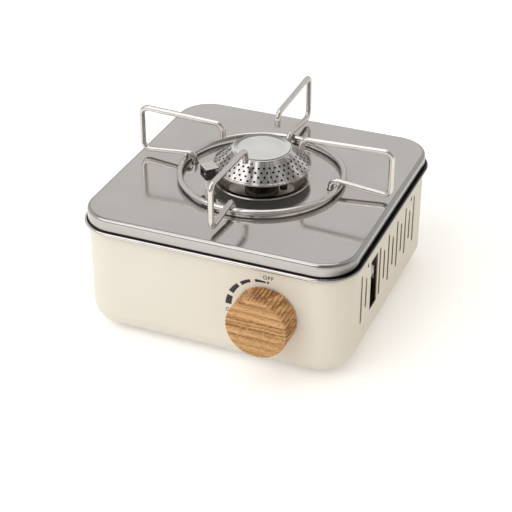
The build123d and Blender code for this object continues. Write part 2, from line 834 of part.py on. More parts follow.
with BuildPart() as can_cradle:
    with BuildSketch(Plane.XZ.offset(-cradle_front)):
        with BuildLine():
            low = -90 - cradle_angle
            CenterArc((can_x, can_z), cradle_outer, low, 2 * cradle_angle)
            CenterArc((can_x, can_z), cradle_inner, low, 2 * cradle_angle)
            for turn in (low, low + 2 * cradle_angle):
                c, s = math.cos(math.radians(turn)), math.sin(math.radians(turn))
                Line(
                    (can_x + cradle_inner * c, can_z + cradle_inner * s),
                    (can_x + cradle_outer * c, can_z + cradle_outer * s),
                )
        make_face()
    extrude(amount=-(cradle_back - cradle_front))
    with BuildSketch(Plane.XZ.offset(-cradle_front)):
        with BuildLine():
            CenterArc((can_x, can_z), cradle_inner + cradle_t / 2, -120, 60)
            CenterArc((can_x, can_z), cradle_inner - cradle_ridge, -120, 60)
            for turn in (-120, -60):
                c, s = math.cos(math.radians(turn)), math.sin(math.radians(turn))
                Line(
                    (can_x + (cradle_inner + cradle_t / 2) * c, can_z + (cradle_inner + cradle_t / 2) * s),
                    (can_x + (cradle_inner - cradle_ridge) * c, can_z + (cradle_inner - cradle_ridge) * s),
                )
        make_face()
    extrude(amount=-cradle_ridge)
    ear_low = can_z - cradle_inner * math.cos(math.radians(cradle_angle)) - ear_t
    ear_front = drive_y - lever_width
    ear_back = cradle_front + lever_width
    with BuildSketch(Plane.YZ.offset(ear_x)):
        with BuildLine():
            Polyline(
                (ear_front, ear_top),
                (drive_y + lever_width, ear_top),
                (cradle_front + lever_width / 2, ear_low + 2 * ear_t),
                (ear_back, ear_low + ear_t),
                (ear_back, ear_low),
                (ear_front, ear_low),
                close=True,
            )
        make_face()
        with Locations((drive_y, (drive_z + drive_low) / 2)):
            SlotOverall(
                drive_z - drive_low + drive_pin_diameter + 2 * loose_clearance + ear_slot_spare,
                drive_pin_diameter + 2 * loose_clearance,
                rotation=90,
                mode=Mode.SUBTRACT,
            )
    extrude(amount=ear_t)
    with BuildSketch(Plane.XY.offset(ear_low)):
        link_start = can_x + cradle_inner * math.sin(math.radians(cradle_angle)) - ear_t / 2
        with Locations(((link_start + ear_x + ear_t) / 2, cradle_front + lever_width / 2)):
            Rectangle(ear_x + ear_t - link_start, lever_width)
    extrude(amount=ear_t)
can_cradle.part.label = "can_cradle"

with BuildPart() as lock_lever:
    with BuildSketch(Plane.YZ.offset(lever_x)):
        with BuildLine():
            Polyline(
                (lever_pivot_y, lever_pivot_z + lever_width / 2),
                (lever_pivot_y + lever_reach, lever_pivot_z + lever_width / 2),
                (lever_pivot_y + lever_reach, lever_pivot_z - lever_width / 2),
                (drive_y + lever_width, lever_pivot_z - lever_width / 2),
                (drive_y + lever_width / 2, drive_z - lever_width / 2),
                (drive_y - lever_width / 2, drive_z - lever_width / 2),
                (lever_pivot_y - lever_width / 2, lever_pivot_z),
                close=True,
            )
        make_face()
        with Locations((lever_pivot_y, lever_pivot_z)):
            Circle(lever_pin_diameter / 2 + running_clearance, mode=Mode.SUBTRACT)
        with Locations((drive_y, drive_z)):
            Circle(drive_pin_diameter / 2, mode=Mode.SUBTRACT)
    extrude(amount=lever_t)
    with BuildSketch(Plane.YZ.offset(lever_x)):
        with Locations((lever_pivot_y + lever_reach - lever_t / 2, lever_pivot_z)):
            Rectangle(lever_t, lever_tab_height)
    extrude(amount=lever_t + lever_tab_depth)
lock_lever.part.label = "lock_lever"

with BuildPart() as drive_pin:
    with BuildSketch(Plane.YZ.offset(ear_x - loose_clearance)):
        with Locations((drive_y, drive_z)):
            Circle(drive_pin_diameter / 2)
    extrude(amount=lever_x + lever_t - ear_x + loose_clearance)
    with BuildSketch(Plane.YZ.offset(lever_x + lever_t)):
        with Locations((drive_y, drive_z)):
            Circle(drive_pin_diameter * 0.8)
    extrude(amount=lever_t / 2)
drive_pin.part.label = "drive_pin"

with BuildPart() as lever_pin:
    with BuildSketch(Plane.YZ.offset(cheek_x - seat_t)):
        with Locations((lever_pivot_y, lever_pivot_z)):
            Circle(lever_pin_diameter / 2)
    extrude(amount=lever_x + lever_t + loose_clearance - cheek_x + seat_t)
    with BuildSketch(Plane.YZ.offset(lever_x + lever_t + loose_clearance)):
        with Locations((lever_pivot_y, lever_pivot_z)):
            Circle(lever_pin_diameter * 0.8)
    extrude(amount=lever_t / 2)
    with BuildSketch(Plane.YZ.offset(cheek_x)):
        with Locations((lever_pivot_y, lever_pivot_z)):
            Circle(lever_pin_diameter * 0.8)
    extrude(amount=ear_x - loose_clearance - cheek_x)
lever_pin.part.label = "lever_pin"

# ---------------------------------------------------------------- knob, spindle and cam
with BuildPart() as knob:
    with BuildSketch(Plane.XZ.offset(-knob_back)):
        with Locations((knob_x, knob_z)):
            Circle(knob_radius)
    extrude(amount=knob_thickness)
    fillet(knob.faces().sort_by(Axis.Y)[0].edges(), knob_edge)
    groove_out = knob_radius + knob_groove_radius - knob_rib_depth
    with BuildSketch(Plane.XZ.offset(-knob_back)):
        with Locations((knob_x, knob_z)):
            with PolarLocations(groove_out, knob_ribs):
                Circle(knob_groove_radius)
    extrude(amount=knob_thickness, mode=Mode.SUBTRACT)
    with BuildSketch(Plane.XZ.offset(-knob_back)):
        with Locations((knob_x, knob_z)):
            Circle(insert_radius)
    extrude(amount=insert_length, mode=Mode.SUBTRACT)
knob.part.label = "knob"

with BuildPart() as spindle:
    spindle_front = -knob_back + insert_length - 2 * bracket_t
    spindle_back = -regulator_front - regulator_bore + spindle_end_gap
    with BuildSketch(Plane.XZ.offset(spindle_back)):
        with Locations((knob_x, knob_z)):
            Circle(spindle_radius)
    extrude(amount=spindle_front - spindle_back)
    with BuildSketch(Plane.XZ.offset(spindle_front)):
        with Locations((knob_x, knob_z + spindle_flat + spindle_radius)):
            Rectangle(2 * spindle_diameter, 2 * spindle_radius)
    extrude(amount=-(spindle_front + knob_back), mode=Mode.SUBTRACT)
spindle.part.label = "spindle"

with BuildPart() as knob_insert:
    with BuildSketch(Plane.XZ.offset(-knob_back)):
        with Locations((knob_x, knob_z)):
            Circle(insert_radius)
    extrude(amount=insert_length)
    add(spindle.part, mode=Mode.SUBTRACT)
knob_insert.part.label = "knob_insert"

with BuildPart() as spindle_bush:
    with BuildSketch(Plane.XZ.offset(inside_y)):
        with Locations((knob_x, knob_z)):
            Circle(bush_radius)
    extrude(amount=wall_t + knob_gap / 2)
    with BuildSketch(Plane.XZ.offset(inside_y)):
        with Locations((knob_x, knob_z)):
            Circle(bush_radius + bush_flange)
    extrude(amount=-2 * wall_t)
    with BuildSketch(Plane.XZ.offset(wall_y + knob_gap)):
        with Locations((knob_x, knob_z)):
            Circle(spindle_bore)
    extrude(amount=-4 * knob_gap, mode=Mode.SUBTRACT)
spindle_bush.part.label = "spindle_bush"

with BuildPart() as trip_cam:
    cam_steps = 22
    rise = []
    for step in range(cam_steps + 1):
        turn = math.radians(90 - cam_turn * step / cam_steps)
        reach = cam_radius + cam_lift * step / cam_steps
        rise.append((knob_x + reach * math.cos(turn), knob_z + reach * math.sin(turn)))
    dwell = math.radians(90 - cam_turn - cam_dwell)
    top_reach = cam_radius + cam_lift
    dwell_mid = math.radians(90 - cam_turn - cam_dwell / 2)
    drop = math.radians(90 - cam_turn - 2 * cam_dwell)
    drop_end = (knob_x + cam_radius * math.cos(drop), knob_z + cam_radius * math.sin(drop))
    dwell_end = (knob_x + top_reach * math.cos(dwell), knob_z + top_reach * math.sin(dwell))
    with BuildSketch(Plane.XZ.offset(-cam_y - cam_thickness / 2)):
        with BuildLine():
            Spline(*rise)
            ThreePointArc(
                rise[-1],
                (knob_x + top_reach * math.cos(dwell_mid), knob_z + top_reach * math.sin(dwell_mid)),
                dwell_end,
            )
            Line(dwell_end, drop_end)
            ThreePointArc(drop_end, (knob_x - cam_radius, knob_z), rise[0])
        make_face()
        with Locations((knob_x, knob_z)):
            Circle(spindle_radius, mode=Mode.SUBTRACT)
    extrude(amount=cam_thickness)
trip_cam.part.label = "trip_cam"

# ---------------------------------------------------------------- igniter
with BuildPart() as piezo_plunger:
    with BuildSketch(Plane.XY.offset(plunger_tip)):
        with Locations((knob_x, cam_y)):
            Circle(plunger_diameter / 2)
    extrude(amount=cam_lift + plunger_spare + piezo_length / 3)
    fillet(piezo_plunger.faces().sort_by(Axis.Z)[0].edges(), 0.48 * plunger_diameter)
piezo_plunger.part.label = "piezo_plunger"

with BuildPart() as piezo_body:
    with BuildSketch(Plane.XY.offset(piezo_bottom)):
        with Locations((knob_x, cam_y)):
            RectangleRounded(piezo_size, piezo_size, bracket_t)
    extrude(amount=piezo_length)
    with BuildSketch(Plane.XY.offset(piezo_bottom)):
        with Locations((knob_x, cam_y)):
            Circle(plunger_diameter / 2 + running_clearance)
    extrude(amount=piezo_length / 3 + cam_lift + plunger_end_gap, mode=Mode.SUBTRACT)
piezo_body.part.label = "piezo_body"

with BuildPart() as piezo_bracket:
    bracket_back = cam_y + piezo_size / 2
    bracket_floor = regulator_top
    with BuildSketch(Plane.XY.offset(bracket_floor)):
        with Locations((knob_x, cam_y + bracket_t)):
            Rectangle(piezo_size + 2 * bracket_t, piezo_size)
        with Locations((knob_x, cam_y)):
            RectangleRounded(piezo_size, piezo_size, bracket_t, mode=Mode.SUBTRACT)
        with Locations((knob_x, cam_y - piezo_size / 2)):
            Rectangle(piezo_size, piezo_size / 2, mode=Mode.SUBTRACT)
    extrude(amount=wire_z - 3 * wire_radius - bracket_floor)
    with BuildSketch(Plane.XY.offset(bracket_floor)):
        with Locations((knob_x, (bracket_back + regulator_mid + 2 * screw_head) / 2)):
            Rectangle(piezo_size + 2 * bracket_t, regulator_mid + 2 * screw_head - bracket_back)
        with Locations((knob_x, regulator_mid)):
            Circle(screw_radius, mode=Mode.SUBTRACT)
    extrude(amount=bracket_t)
    with BuildSketch(Plane.XZ.offset(-bracket_back)):
        with Locations((knob_x, (bracket_floor + piezo_top + bracket_t) / 2)):
            Rectangle(piezo_size / 2, piezo_top + bracket_t - bracket_floor)
    extrude(amount=-bracket_t)
    with BuildSketch(Plane.XY.offset(piezo_top)):
        with Locations((knob_x, cam_y + bracket_t / 2 + piezo_size / 4)):
            Rectangle(piezo_size / 2, piezo_size / 2 + bracket_t)
    extrude(amount=bracket_t)
piezo_bracket.part.label = "piezo_bracket"

with BuildPart() as bracket_screw:
    with BuildSketch(Plane.XY.offset(regulator_top - 2 * screw_radius)):
        with Locations((knob_x, regulator_mid)):
            Circle(screw_radius)
    extrude(amount=2 * screw_radius + bracket_t)
    with BuildSketch(Plane.XY.offset(regulator_top + bracket_t)):
        with Locations((knob_x, regulator_mid)):
            Circle(screw_head)
    extrude(amount=screw_head_height)
bracket_screw.part.label = "bracket_screw"

with BuildPart() as ignition_wire:
    with BuildLine() as lead_run:
        FilletPolyline(
            (knob_x - piezo_size / 2, cam_y, wire_z),
            (spark_x, cam_y, wire_z),
            (spark_x, cam_y, wire_low),
            (spark_x, spark_y, wire_low),
            (spark_x, spark_y, rod_bottom),
            radius=wire_bend,
        )
    with BuildSketch(Plane(origin=lead_run.line @ 0, z_dir=lead_run.line % 0)):
        Circle(wire_radius)
    sweep()
ignition_wire.part.label = "ignition_wire"

with BuildPart() as wire_clip:
    clip_bottom = wire_z - 2 * wire_radius
    clip_top = plate_under - wall_t
    with BuildSketch(Plane.YZ.offset(-2 * wire_radius)):
        with Locations((cam_y, (clip_bottom + clip_top) / 2)):
            Rectangle(4 * wire_radius, clip_top - clip_bottom)
        with Locations((cam_y, wire_z)):
            Circle(wire_radius, mode=Mode.SUBTRACT)
    extrude(amount=4 * wire_radius)
wire_clip.part.label = "wire_clip"

with BuildPart() as spark_insulator:
    with BuildSketch(Plane.XY.offset(insulator_bottom)):
        with Locations((spark_x, spark_y)):
            Circle(insulator_radius)
    extrude(amount=insulator_top - insulator_bottom)
    with BuildSketch(Plane.XY.offset(plate_under)):
        with Locations((spark_x, spark_y)):
            Circle(insulator_collar)
    extrude(amount=-3 * plate_t)
    with BuildSketch(Plane.XY.offset(insulator_bottom)):
        with Locations((spark_x, spark_y)):
            Circle(rod_radius)
    extrude(amount=insulator_top - insulator_bottom, mode=Mode.SUBTRACT)
spark_insulator.part.label = "spark_insulator"

with BuildPart() as spark_rod:
    with BuildSketch(Plane.XY.offset(rod_bottom)):
        with Locations((spark_x, spark_y)):
            Circle(rod_radius)
    extrude(amount=rod_top - rod_bottom)
spark_rod.part.label = "spark_rod"

with BuildPart() as spark_hood:
    hood_in = spark_radius - hood_depth / 2
    hood_out = spark_radius + hood_depth / 2
    hood_top = hood_bottom + hood_height
    with BuildSketch(Plane.XY.offset(hood_bottom)):
        with Locations((spark_radius, 0)):
            RectangleRounded(hood_depth, hood_width, hood_corner)
            RectangleRounded(
                hood_depth - 2 * hood_t, hood_width - 2 * hood_t, hood_corner - hood_t, mode=Mode.SUBTRACT
            )
    extrude(amount=hood_height)
    with BuildSketch(Plane.XY.offset(hood_top)):
        with Locations((spark_radius - hood_roof / 2, 0)):
            RectangleRounded(hood_depth + hood_roof, hood_width, hood_corner)
    extrude(amount=-hood_t)
    with BuildSketch(Plane.XY.offset(hood_top)):
        with Locations((hood_in - hood_roof + hood_t / 2, 0)):
            Rectangle(hood_t, hood_width - 2 * hood_corner)
    extrude(amount=-3 * hood_t)
    with BuildSketch(Plane.YZ.offset(hood_in)):
        with Locations((0, hood_bottom + 0.6 * hood_height)):
            Rectangle(0.5 * hood_width, 0.4 * hood_height)
    extrude(amount=hood_t, mode=Mode.SUBTRACT)
    with BuildSketch(Plane.YZ.offset(hood_out - hood_t)):
        with Locations((0, hood_bottom + 0.5 * hood_height)):
            Rectangle(hood_window * hood_width, 0.34 * hood_height)
    extrude(amount=hood_t, mode=Mode.SUBTRACT)
    with BuildSketch(Plane.YZ.offset(hood_in)):
        with Locations((0, (hood_bottom + dish_under - hood_t) / 2)):
            Rectangle(0.5 * hood_width, hood_bottom - dish_under + hood_t)
    extrude(amount=hood_t)
    with BuildSketch(Plane.XY.offset(dish_under)):
        with Locations(((hood_in + hood_t + skirt_radius - skirt_lip) / 2, 0)):
            Rectangle(hood_in + hood_t - skirt_radius + skirt_lip, 0.5 * hood_width)
    extrude(amount=-hood_t)
spark_hood.part = spark_hood.part.rotate(Axis.Z, spark_angle)
spark_hood.part.label = "spark_hood"

# ---------------------------------------------------------------- pan support
with BuildPart() as support_ring:
    with BuildSketch(Plane.XZ):
        with Locations((ring_radius, ring_z)):
            Circle(ring_wire / 2)
    revolve(axis=Axis.Z)
support_ring.part.label = "support_ring"


def loop_points(reach):
    """Corners of one wire loop in its own plane, from the free tip to the plate."""
    slope = (loop_outer_top - loop_inner_top) / (reach_left - loop_tip_radius)
    top_out = loop_inner_top + slope * (reach - loop_tip_radius)
    bar_at_ring = ring_z + ring_wire / 2 + support_wire / 2 + weld_gap
    fall = (bar_at_ring - loop_outer_low) / (reach_left - ring_radius)
    low_out = bar_at_ring - fall * (reach - ring_radius)
    low_in = bar_at_ring + fall * (ring_radius - leg_radius)
    return [
        (loop_tip_radius, 0, loop_tip),
        (loop_tip_radius + loop_lean, 0, loop_inner_top),
        (reach, 0, top_out),
        (reach, 0, low_out),
        (leg_radius, 0, low_in),
        (leg_radius, 0, pocket_floor),
    ]


def wire_loop(reach, turn):
    """One loop of the pan support, turned about the burner axis."""
    with BuildPart() as loop:
        with BuildLine() as run:
            FilletPolyline(*loop_points(reach), radius=loop_bend)
        with BuildSketch(Plane(origin=run.line @ 0, z_dir=run.line % 0)):
            Circle(support_wire / 2)
        sweep()
    return loop.part.rotate(Axis.Z, turn)


with BuildPart() as pot_support_right:
    add(wire_loop(reach_right, 0))
pot_support_right.part.label = "pot_support_right"

with BuildPart() as pot_support_back:
    add(wire_loop(reach_back, 90))
pot_support_back.part.label = "pot_support_back"

with BuildPart() as pot_support_left:
    add(wire_loop(reach_left, 180))
pot_support_left.part.label = "pot_support_left"

with BuildPart() as pot_support_front:
    add(wire_loop(reach_front, 270))
pot_support_front.part.label = "pot_support_front"

with BuildPart() as support_welds:
    weld_z = ring_z + ring_wire / 2 + weld_radius / 4
    for quarter in range(4):
        for side in (-1, 1):
            spot = Location((ring_radius, side * (support_wire + running_clearance) / 2, weld_z))
            with Locations(Rotation(0, 0, 90 * quarter) * spot):
                Sphere(weld_radius, rotation=(90, 0, 0))
    add(support_ring.part, mode=Mode.SUBTRACT)
    for loop_part in (pot_support_right, pot_support_back, pot_support_left, pot_support_front):
        add(loop_part.part, mode=Mode.SUBTRACT)
support_welds.part.label = "support_welds"

# ---------------------------------------------------------------- files
for built in (
    body_shell,
    top_plate,
    rim_bead,
    rubber_feet,
    plate_clips,
    drip_bowl,
    mixing_tube,
    burner_screws,
    burner_base,
    burner_skirt,
    burner_cap,
    regulator_body,
    regulator_cover,
    regulator_screws,
    can_inlet,
    inlet_seal,
    gas_pipe,
    gas_jet,
    can_holder_plate,
    holder_screws,
    cradle_rail,
    rail_fixings,
    heat_shield,
    shield_fixings,
    can_cradle,
    lock_lever,
    drive_pin,
    lever_pin,
    knob,
    spindle,
    knob_insert,
    spindle_bush,
    trip_cam,
    piezo_plunger,
    piezo_body,
    piezo_bracket,
    bracket_screw,
    ignition_wire,
    wire_clip,
    spark_insulator,
    spark_rod,
    spark_hood,
    support_ring,
    pot_support_right,
    pot_support_back,
    pot_support_left,
    pot_support_front,
    support_welds,
):
    export_step(built.part, f"parts/{built.part.label}.step")
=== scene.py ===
"""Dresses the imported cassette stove: finishes, dial print, small fittings and a plain studio."""

import json
import math

import bmesh
import bpy
from mathutils import Matrix, Vector


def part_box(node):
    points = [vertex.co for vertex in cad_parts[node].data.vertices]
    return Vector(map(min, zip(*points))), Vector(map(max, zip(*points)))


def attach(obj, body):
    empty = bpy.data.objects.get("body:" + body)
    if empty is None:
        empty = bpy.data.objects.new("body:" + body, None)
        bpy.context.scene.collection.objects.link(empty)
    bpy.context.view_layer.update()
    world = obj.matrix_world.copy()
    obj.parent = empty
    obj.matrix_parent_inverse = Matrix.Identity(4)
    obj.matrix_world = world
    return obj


bl_info = {
    "name": "Cassette Stove Dresser",
    "version": (1, 0, 0),
    "blender": (4, 5, 0),
    "location": "View3D > Sidebar > Stove",
    "description": "Builds the dial print, fittings, finishes and studio of a tabletop stove",
    "category": "Object",
}

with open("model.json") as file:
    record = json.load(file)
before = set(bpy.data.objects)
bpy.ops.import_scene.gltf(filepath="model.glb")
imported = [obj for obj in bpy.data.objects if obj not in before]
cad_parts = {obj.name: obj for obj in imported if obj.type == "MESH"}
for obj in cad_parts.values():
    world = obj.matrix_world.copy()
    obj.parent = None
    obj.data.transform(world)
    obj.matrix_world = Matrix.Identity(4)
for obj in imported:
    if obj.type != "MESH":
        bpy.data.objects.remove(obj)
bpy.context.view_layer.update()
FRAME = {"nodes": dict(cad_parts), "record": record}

MM = 0.001
SHELL_LOW, SHELL_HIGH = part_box("body_shell")
PLATE_LOW, PLATE_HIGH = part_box("top_plate")
BEAD_LOW, BEAD_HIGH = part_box("rim_bead")
SKIRT_LOW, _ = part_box("burner_skirt")
CAP_LOW, CAP_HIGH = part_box("burner_cap")
KNOB_LOW, KNOB_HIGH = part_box("knob")
CAP_RADIUS = (CAP_HIGH.x - CAP_LOW.x) / 2
KNOB_RADIUS = (KNOB_HIGH.x - KNOB_LOW.x) / 2
KNOB_X = (KNOB_LOW.x + KNOB_HIGH.x) / 2
KNOB_Z = (KNOB_LOW.z + KNOB_HIGH.z) / 2
WALL_Y = SHELL_LOW.y


# ---------------------------------------------------------------- settings


class StoveSizes(bpy.types.PropertyGroup):
    """Sizes of the pieces that are modelled here."""

    print_thickness: bpy.props.FloatProperty(
        name="Print thickness",
        description="How far the dial print stands off the enamel",
        default=0.05 * MM,
        unit="LENGTH",
    )
    letter_height: bpy.props.FloatProperty(
        name="Letter height",
        description="Cap height of the words on the dial",
        default=3.0 * MM,
        unit="LENGTH",
    )
    boot_length: bpy.props.FloatProperty(
        name="Boot length",
        description="Length of the rubber boots on the ignition lead",
        default=9.0 * MM,
        unit="LENGTH",
    )
    nut_width: bpy.props.FloatProperty(
        name="Nut width",
        description="Width over corners of the unions on the gas pipe",
        default=9.0 * MM,
        unit="LENGTH",
    )


class StoveColours(bpy.types.PropertyGroup):
    """Colours that a user would change first."""

    enamel: bpy.props.FloatVectorProperty(
        name="Body enamel",
        description="Cream enamel of the tub",
        subtype="COLOR",
        default=(0.86, 0.81, 0.712),
        min=0,
        max=1,
    )
    steel: bpy.props.FloatVectorProperty(
        name="Polished steel",
        description="Top plate and wires",
        subtype="COLOR",
        default=(0.648, 0.622, 0.597),
        min=0,
        max=1,
    )
    wood: bpy.props.FloatVectorProperty(
        name="Knob wood",
        description="Ground colour of the wooden knob",
        subtype="COLOR",
        default=(0.67, 0.385, 0.17),
        min=0,
        max=1,
    )
    ink: bpy.props.FloatVectorProperty(
        name="Dial ink",
        description="Colour of the dial print",
        subtype="COLOR",
        default=(0.022, 0.021, 0.020),
        min=0,
        max=1,
    )


# ---------------------------------------------------------------- node helpers


class Recipe:
    """The node helpers that the finishes and the surround share."""

    def __init__(self, tree, coords):
        self.tree = tree
        self.coords = self.node("ShaderNodeTexCoord").outputs[coords]

    def node(self, kind, **values):
        made = self.tree.nodes.new(kind)
        for key, value in values.items():
            setattr(made, key, value)
        return made

    def join(self, source, target):
        self.tree.links.new(source, target)

    def feed(self, socket, given):
        """Link a socket, or set its colour or number."""
        if isinstance(given, bpy.types.NodeSocket):
            self.join(given, socket)
        else:
            socket.default_value = (*given, 1) if isinstance(given, tuple) else given

    def ramp(self, value, *stops):
        """Stops are (place, colour or grey)."""
        made = self.node("ShaderNodeValToRGB")
        line = made.color_ramp.elements
        for index, (spot, colour) in enumerate(stops):
            stop = line[index] if index < 2 else line.new(spot)
            stop.position = spot
            stop.color = (*colour, 1) if isinstance(colour, tuple) else (colour, colour, colour, 1)
        self.join(value, made.inputs["Fac"])
        return made.outputs["Color"]

    def span(self, value, low, high, to_low=0.0, to_high=1.0, interpolation="SMOOTHSTEP"):
        """Carries the range low..high over to to_low..to_high, and stops at its ends."""
        made = self.node("ShaderNodeMapRange", interpolation_type=interpolation)
        sockets = zip(("From Min", "From Max", "To Min", "To Max"), (low, high, to_low, to_high))
        for socket, number in sockets:
            made.inputs[socket].default_value = number
        self.join(value, made.inputs["Value"])
        return made.outputs["Result"]

    def fall(self, value, low, high, start=1.0):
        return self.span(value, low, high, start, 0.0)

    def math(self, operation, *given):
        made = self.node("ShaderNodeMath", operation=operation)
        for socket, term in zip(made.inputs, given):
            self.feed(socket, term)
        return made.outputs["Value"]

    def plus(self, a, b):
        return self.math("ADD", a, b)

    def minus(self, a, b):
        return self.math("SUBTRACT", a, b)

    def times(self, a, b):
        return self.math("MULTIPLY", a, b)

    def most(self, a, b):
        return self.math("MAXIMUM", a, b)

    def size(self, a):
        return self.math("ABSOLUTE", a)

    def hypotenuse(self, a, b):
        return self.math("SQRT", self.plus(self.times(a, a), self.times(b, b)))

    def vector_math(self, operation, source, other=None):
        made = self.node("ShaderNodeVectorMath", operation=operation)
        self.join(source, made.inputs[0])
        if other is not None:
            made.inputs[1].default_value = other
        return made

    def split(self, vector):
        made = self.node("ShaderNodeSeparateXYZ")
        self.join(vector, made.inputs[0])
        return made.outputs

    def axes(self):
        return self.split(self.coords)


class Finish(Recipe):
    """One procedural material on a Principled shader."""

    def __init__(self, name, colour, rough, metal=0.0, **sockets):
        self.material = bpy.data.materials.new(name)
        self.material.use_nodes = True
        super().__init__(self.material.node_tree, "Object")
        self.shader = self.tree.nodes["Principled BSDF"]
        self.shader.inputs["Base Color"].default_value = (*colour, 1)
        self.shader.inputs["Roughness"].default_value = rough
        self.shader.inputs["Metallic"].default_value = metal
        for socket, value in sockets.items():
            self.shader.inputs[socket.replace("_", " ")].default_value = value

    def place(self, stretch, centre=(0, 0, 0)):
        """Object coordinates, moved and stretched."""
        mapping = self.node("ShaderNodeMapping", vector_type="POINT")
        moved = tuple(-spot * scale for spot, scale in zip(centre, stretch))
        mapping.inputs["Location"].default_value = moved
        mapping.inputs["Scale"].default_value = stretch
        self.join(self.coords, mapping.inputs["Vector"])
        return mapping.outputs["Vector"]

    def noise(self, scale, detail, rough=0.5, twist=0.0, vector=None):
        made = self.node("ShaderNodeTexNoise")
        made.inputs["Scale"].default_value = scale
        made.inputs["Detail"].default_value = detail
        made.inputs["Roughness"].default_value = rough
        made.inputs["Distortion"].default_value = twist
        self.join(vector or self.coords, made.inputs["Vector"])
        return made.outputs["Fac"]

    def grain(self, stretch, detail, rough=0.5, centre=(0, 0, 0), twist=0.0):
        """Noise drawn out by a different scale along each axis."""
        return self.noise(1.0, detail, rough, twist, self.place(stretch, centre))

    def even(self, value, low=0.0, high=1.0):
        """The middle of a noise, carried over to low..high."""
        return self.span(value, 0.3, 0.7, low, high)

    def mottle(self, scale, detail, low=0.0, high=1.0):
        return self.even(self.noise(scale, detail), low, high)

    def cells(self, scale):
        made = self.node("ShaderNodeTexVoronoi")
        made.inputs["Scale"].default_value = scale
        self.join(self.coords, made.inputs["Vector"])
        return made.outputs

    def mix(self, factor, a, b, blend="MIX"):
        made = self.node("ShaderNodeMix", data_type="RGBA", blend_type=blend)
        for index, given in ((0, factor), (6, a), (7, b)):
            self.feed(made.inputs[index], given)
        return made.outputs[2]

    def tones(self, factor, colour, low, high):
        """A darker and a lighter tone of one colour, mixed."""
        return self.mix(factor, shade(colour, low), shade(colour, high))

    def from_axis(self):
        """Distance from the burner's axis, in metres."""
        x, y, _ = self.axes()
        return self.hypotenuse(x, y)

    def normal(self):
        """The way the surface faces, split into X, Y and Z."""
        return self.split(self.node("ShaderNodeNewGeometry").outputs["Normal"])

    def outward(self):
        """How much the surface faces away from the burner's axis, times its distance in metres."""
        x, y, _ = self.axes()
        across, along, _ = self.normal()
        return self.plus(self.times(x, across), self.times(y, along))

    def around(self, turns):
        """A vector that changes only with the angle round the burner's axis."""
        flat = self.vector_math("MULTIPLY", self.coords, (1, 1, 0))
        unit = self.vector_math("NORMALIZE", flat.outputs[0])
        made = self.vector_math("SCALE", unit.outputs[0])
        made.inputs["Scale"].default_value = turns
        return made.outputs[0]

    def colour(self, value):
        self.join(value, self.shader.inputs["Base Color"])

    def roughness(self, value):
        self.join(value, self.shader.inputs["Roughness"])

    def relief(self, height, strength, depth):
        """The last step of a recipe: a bump, and the material handed over."""
        made = self.node("ShaderNodeBump")
        made.inputs["Strength"].default_value = strength
        made.inputs["Distance"].default_value = depth
        self.join(height, made.inputs["Height"])
        self.join(made.outputs["Normal"], self.shader.inputs["Normal"])
        return self.material


def shade(colour, factor):
    return tuple(max(0.0, min(1.0, part * factor)) for part in colour)


# ---------------------------------------------------------------- finishes


def enamel_finish(cream):
    """Satin cream enamel with a faint orange peel; brown painted shade inside, and dark painted
    shadow behind the bead.
    """
    made = Finish(
        "cream_enamel", cream, 0.42, Coat_Weight=0.25, Coat_Roughness=0.22, Specular_IOR_Level=0.4
    )
    inside_shade, cut_steel, shadow = (0.20, 0.155, 0.11), (0.44, 0.36, 0.26), (0.022, 0.020, 0.018)
    x, y, z = made.axes()
    across, along, upright = made.normal()
    coat = made.tones(made.span(made.noise(14, 4), 0.35, 0.7), cream, 0.985, 1.015)
    sole = made.times(made.fall(upright, -0.6, -0.4), made.fall(z, 9 * MM, 12 * MM))
    outside = made.most(made.span(made.outward(), 0.02, 0.05), sole)
    # Painted shade: faces inside the tub get a dark brown in place of the shadow in there.
    coat = made.mix(outside, inside_shade, coat)
    # The cut edges of the vents: shallow in the side walls, straight, and away from the corners.
    depth = made.minus(SHELL_HIGH.x, made.size(x))
    shallow = made.fall(depth, 0.5 * MM, 0.7 * MM)
    cut = made.times(shallow, made.fall(made.size(across), 0.2, 0.5))
    straight = made.span(made.size(along), 0.9, 0.97)
    flank = made.fall(made.size(y), 80 * MM, 84 * MM)
    low = made.span(z, 60 * MM, 80 * MM, 1.0, 0.6)
    cut = made.times(made.times(cut, straight), made.times(flank, low))
    coat = made.mix(cut, coat, cut_steel)
    # Painted shadow: the wall from just above the bead's foot upward, under the plate's edge, is
    # near black.
    gutter = made.span(z, BEAD_LOW.z + 0.6 * MM, BEAD_LOW.z + 1.0 * MM)
    made.colour(made.mix(gutter, coat, shadow))
    made.roughness(made.mottle(260, 3, 0.38, 0.47))
    return made.relief(made.noise(1300, 2), 0.10, 0.06 * MM)


# Painted dark reflection along the plate's fold, which also tones down its highlight.
PLATE_CREASE_SHADE = (  # the fold's upward facing, and how far it is darkened there
    (0.60, 0.0),
    (0.78, 0.28),
    (0.95, 0.34),
    (0.972, 0.47),
    (0.992, 0.45),
    (0.9995, 0.0),
)


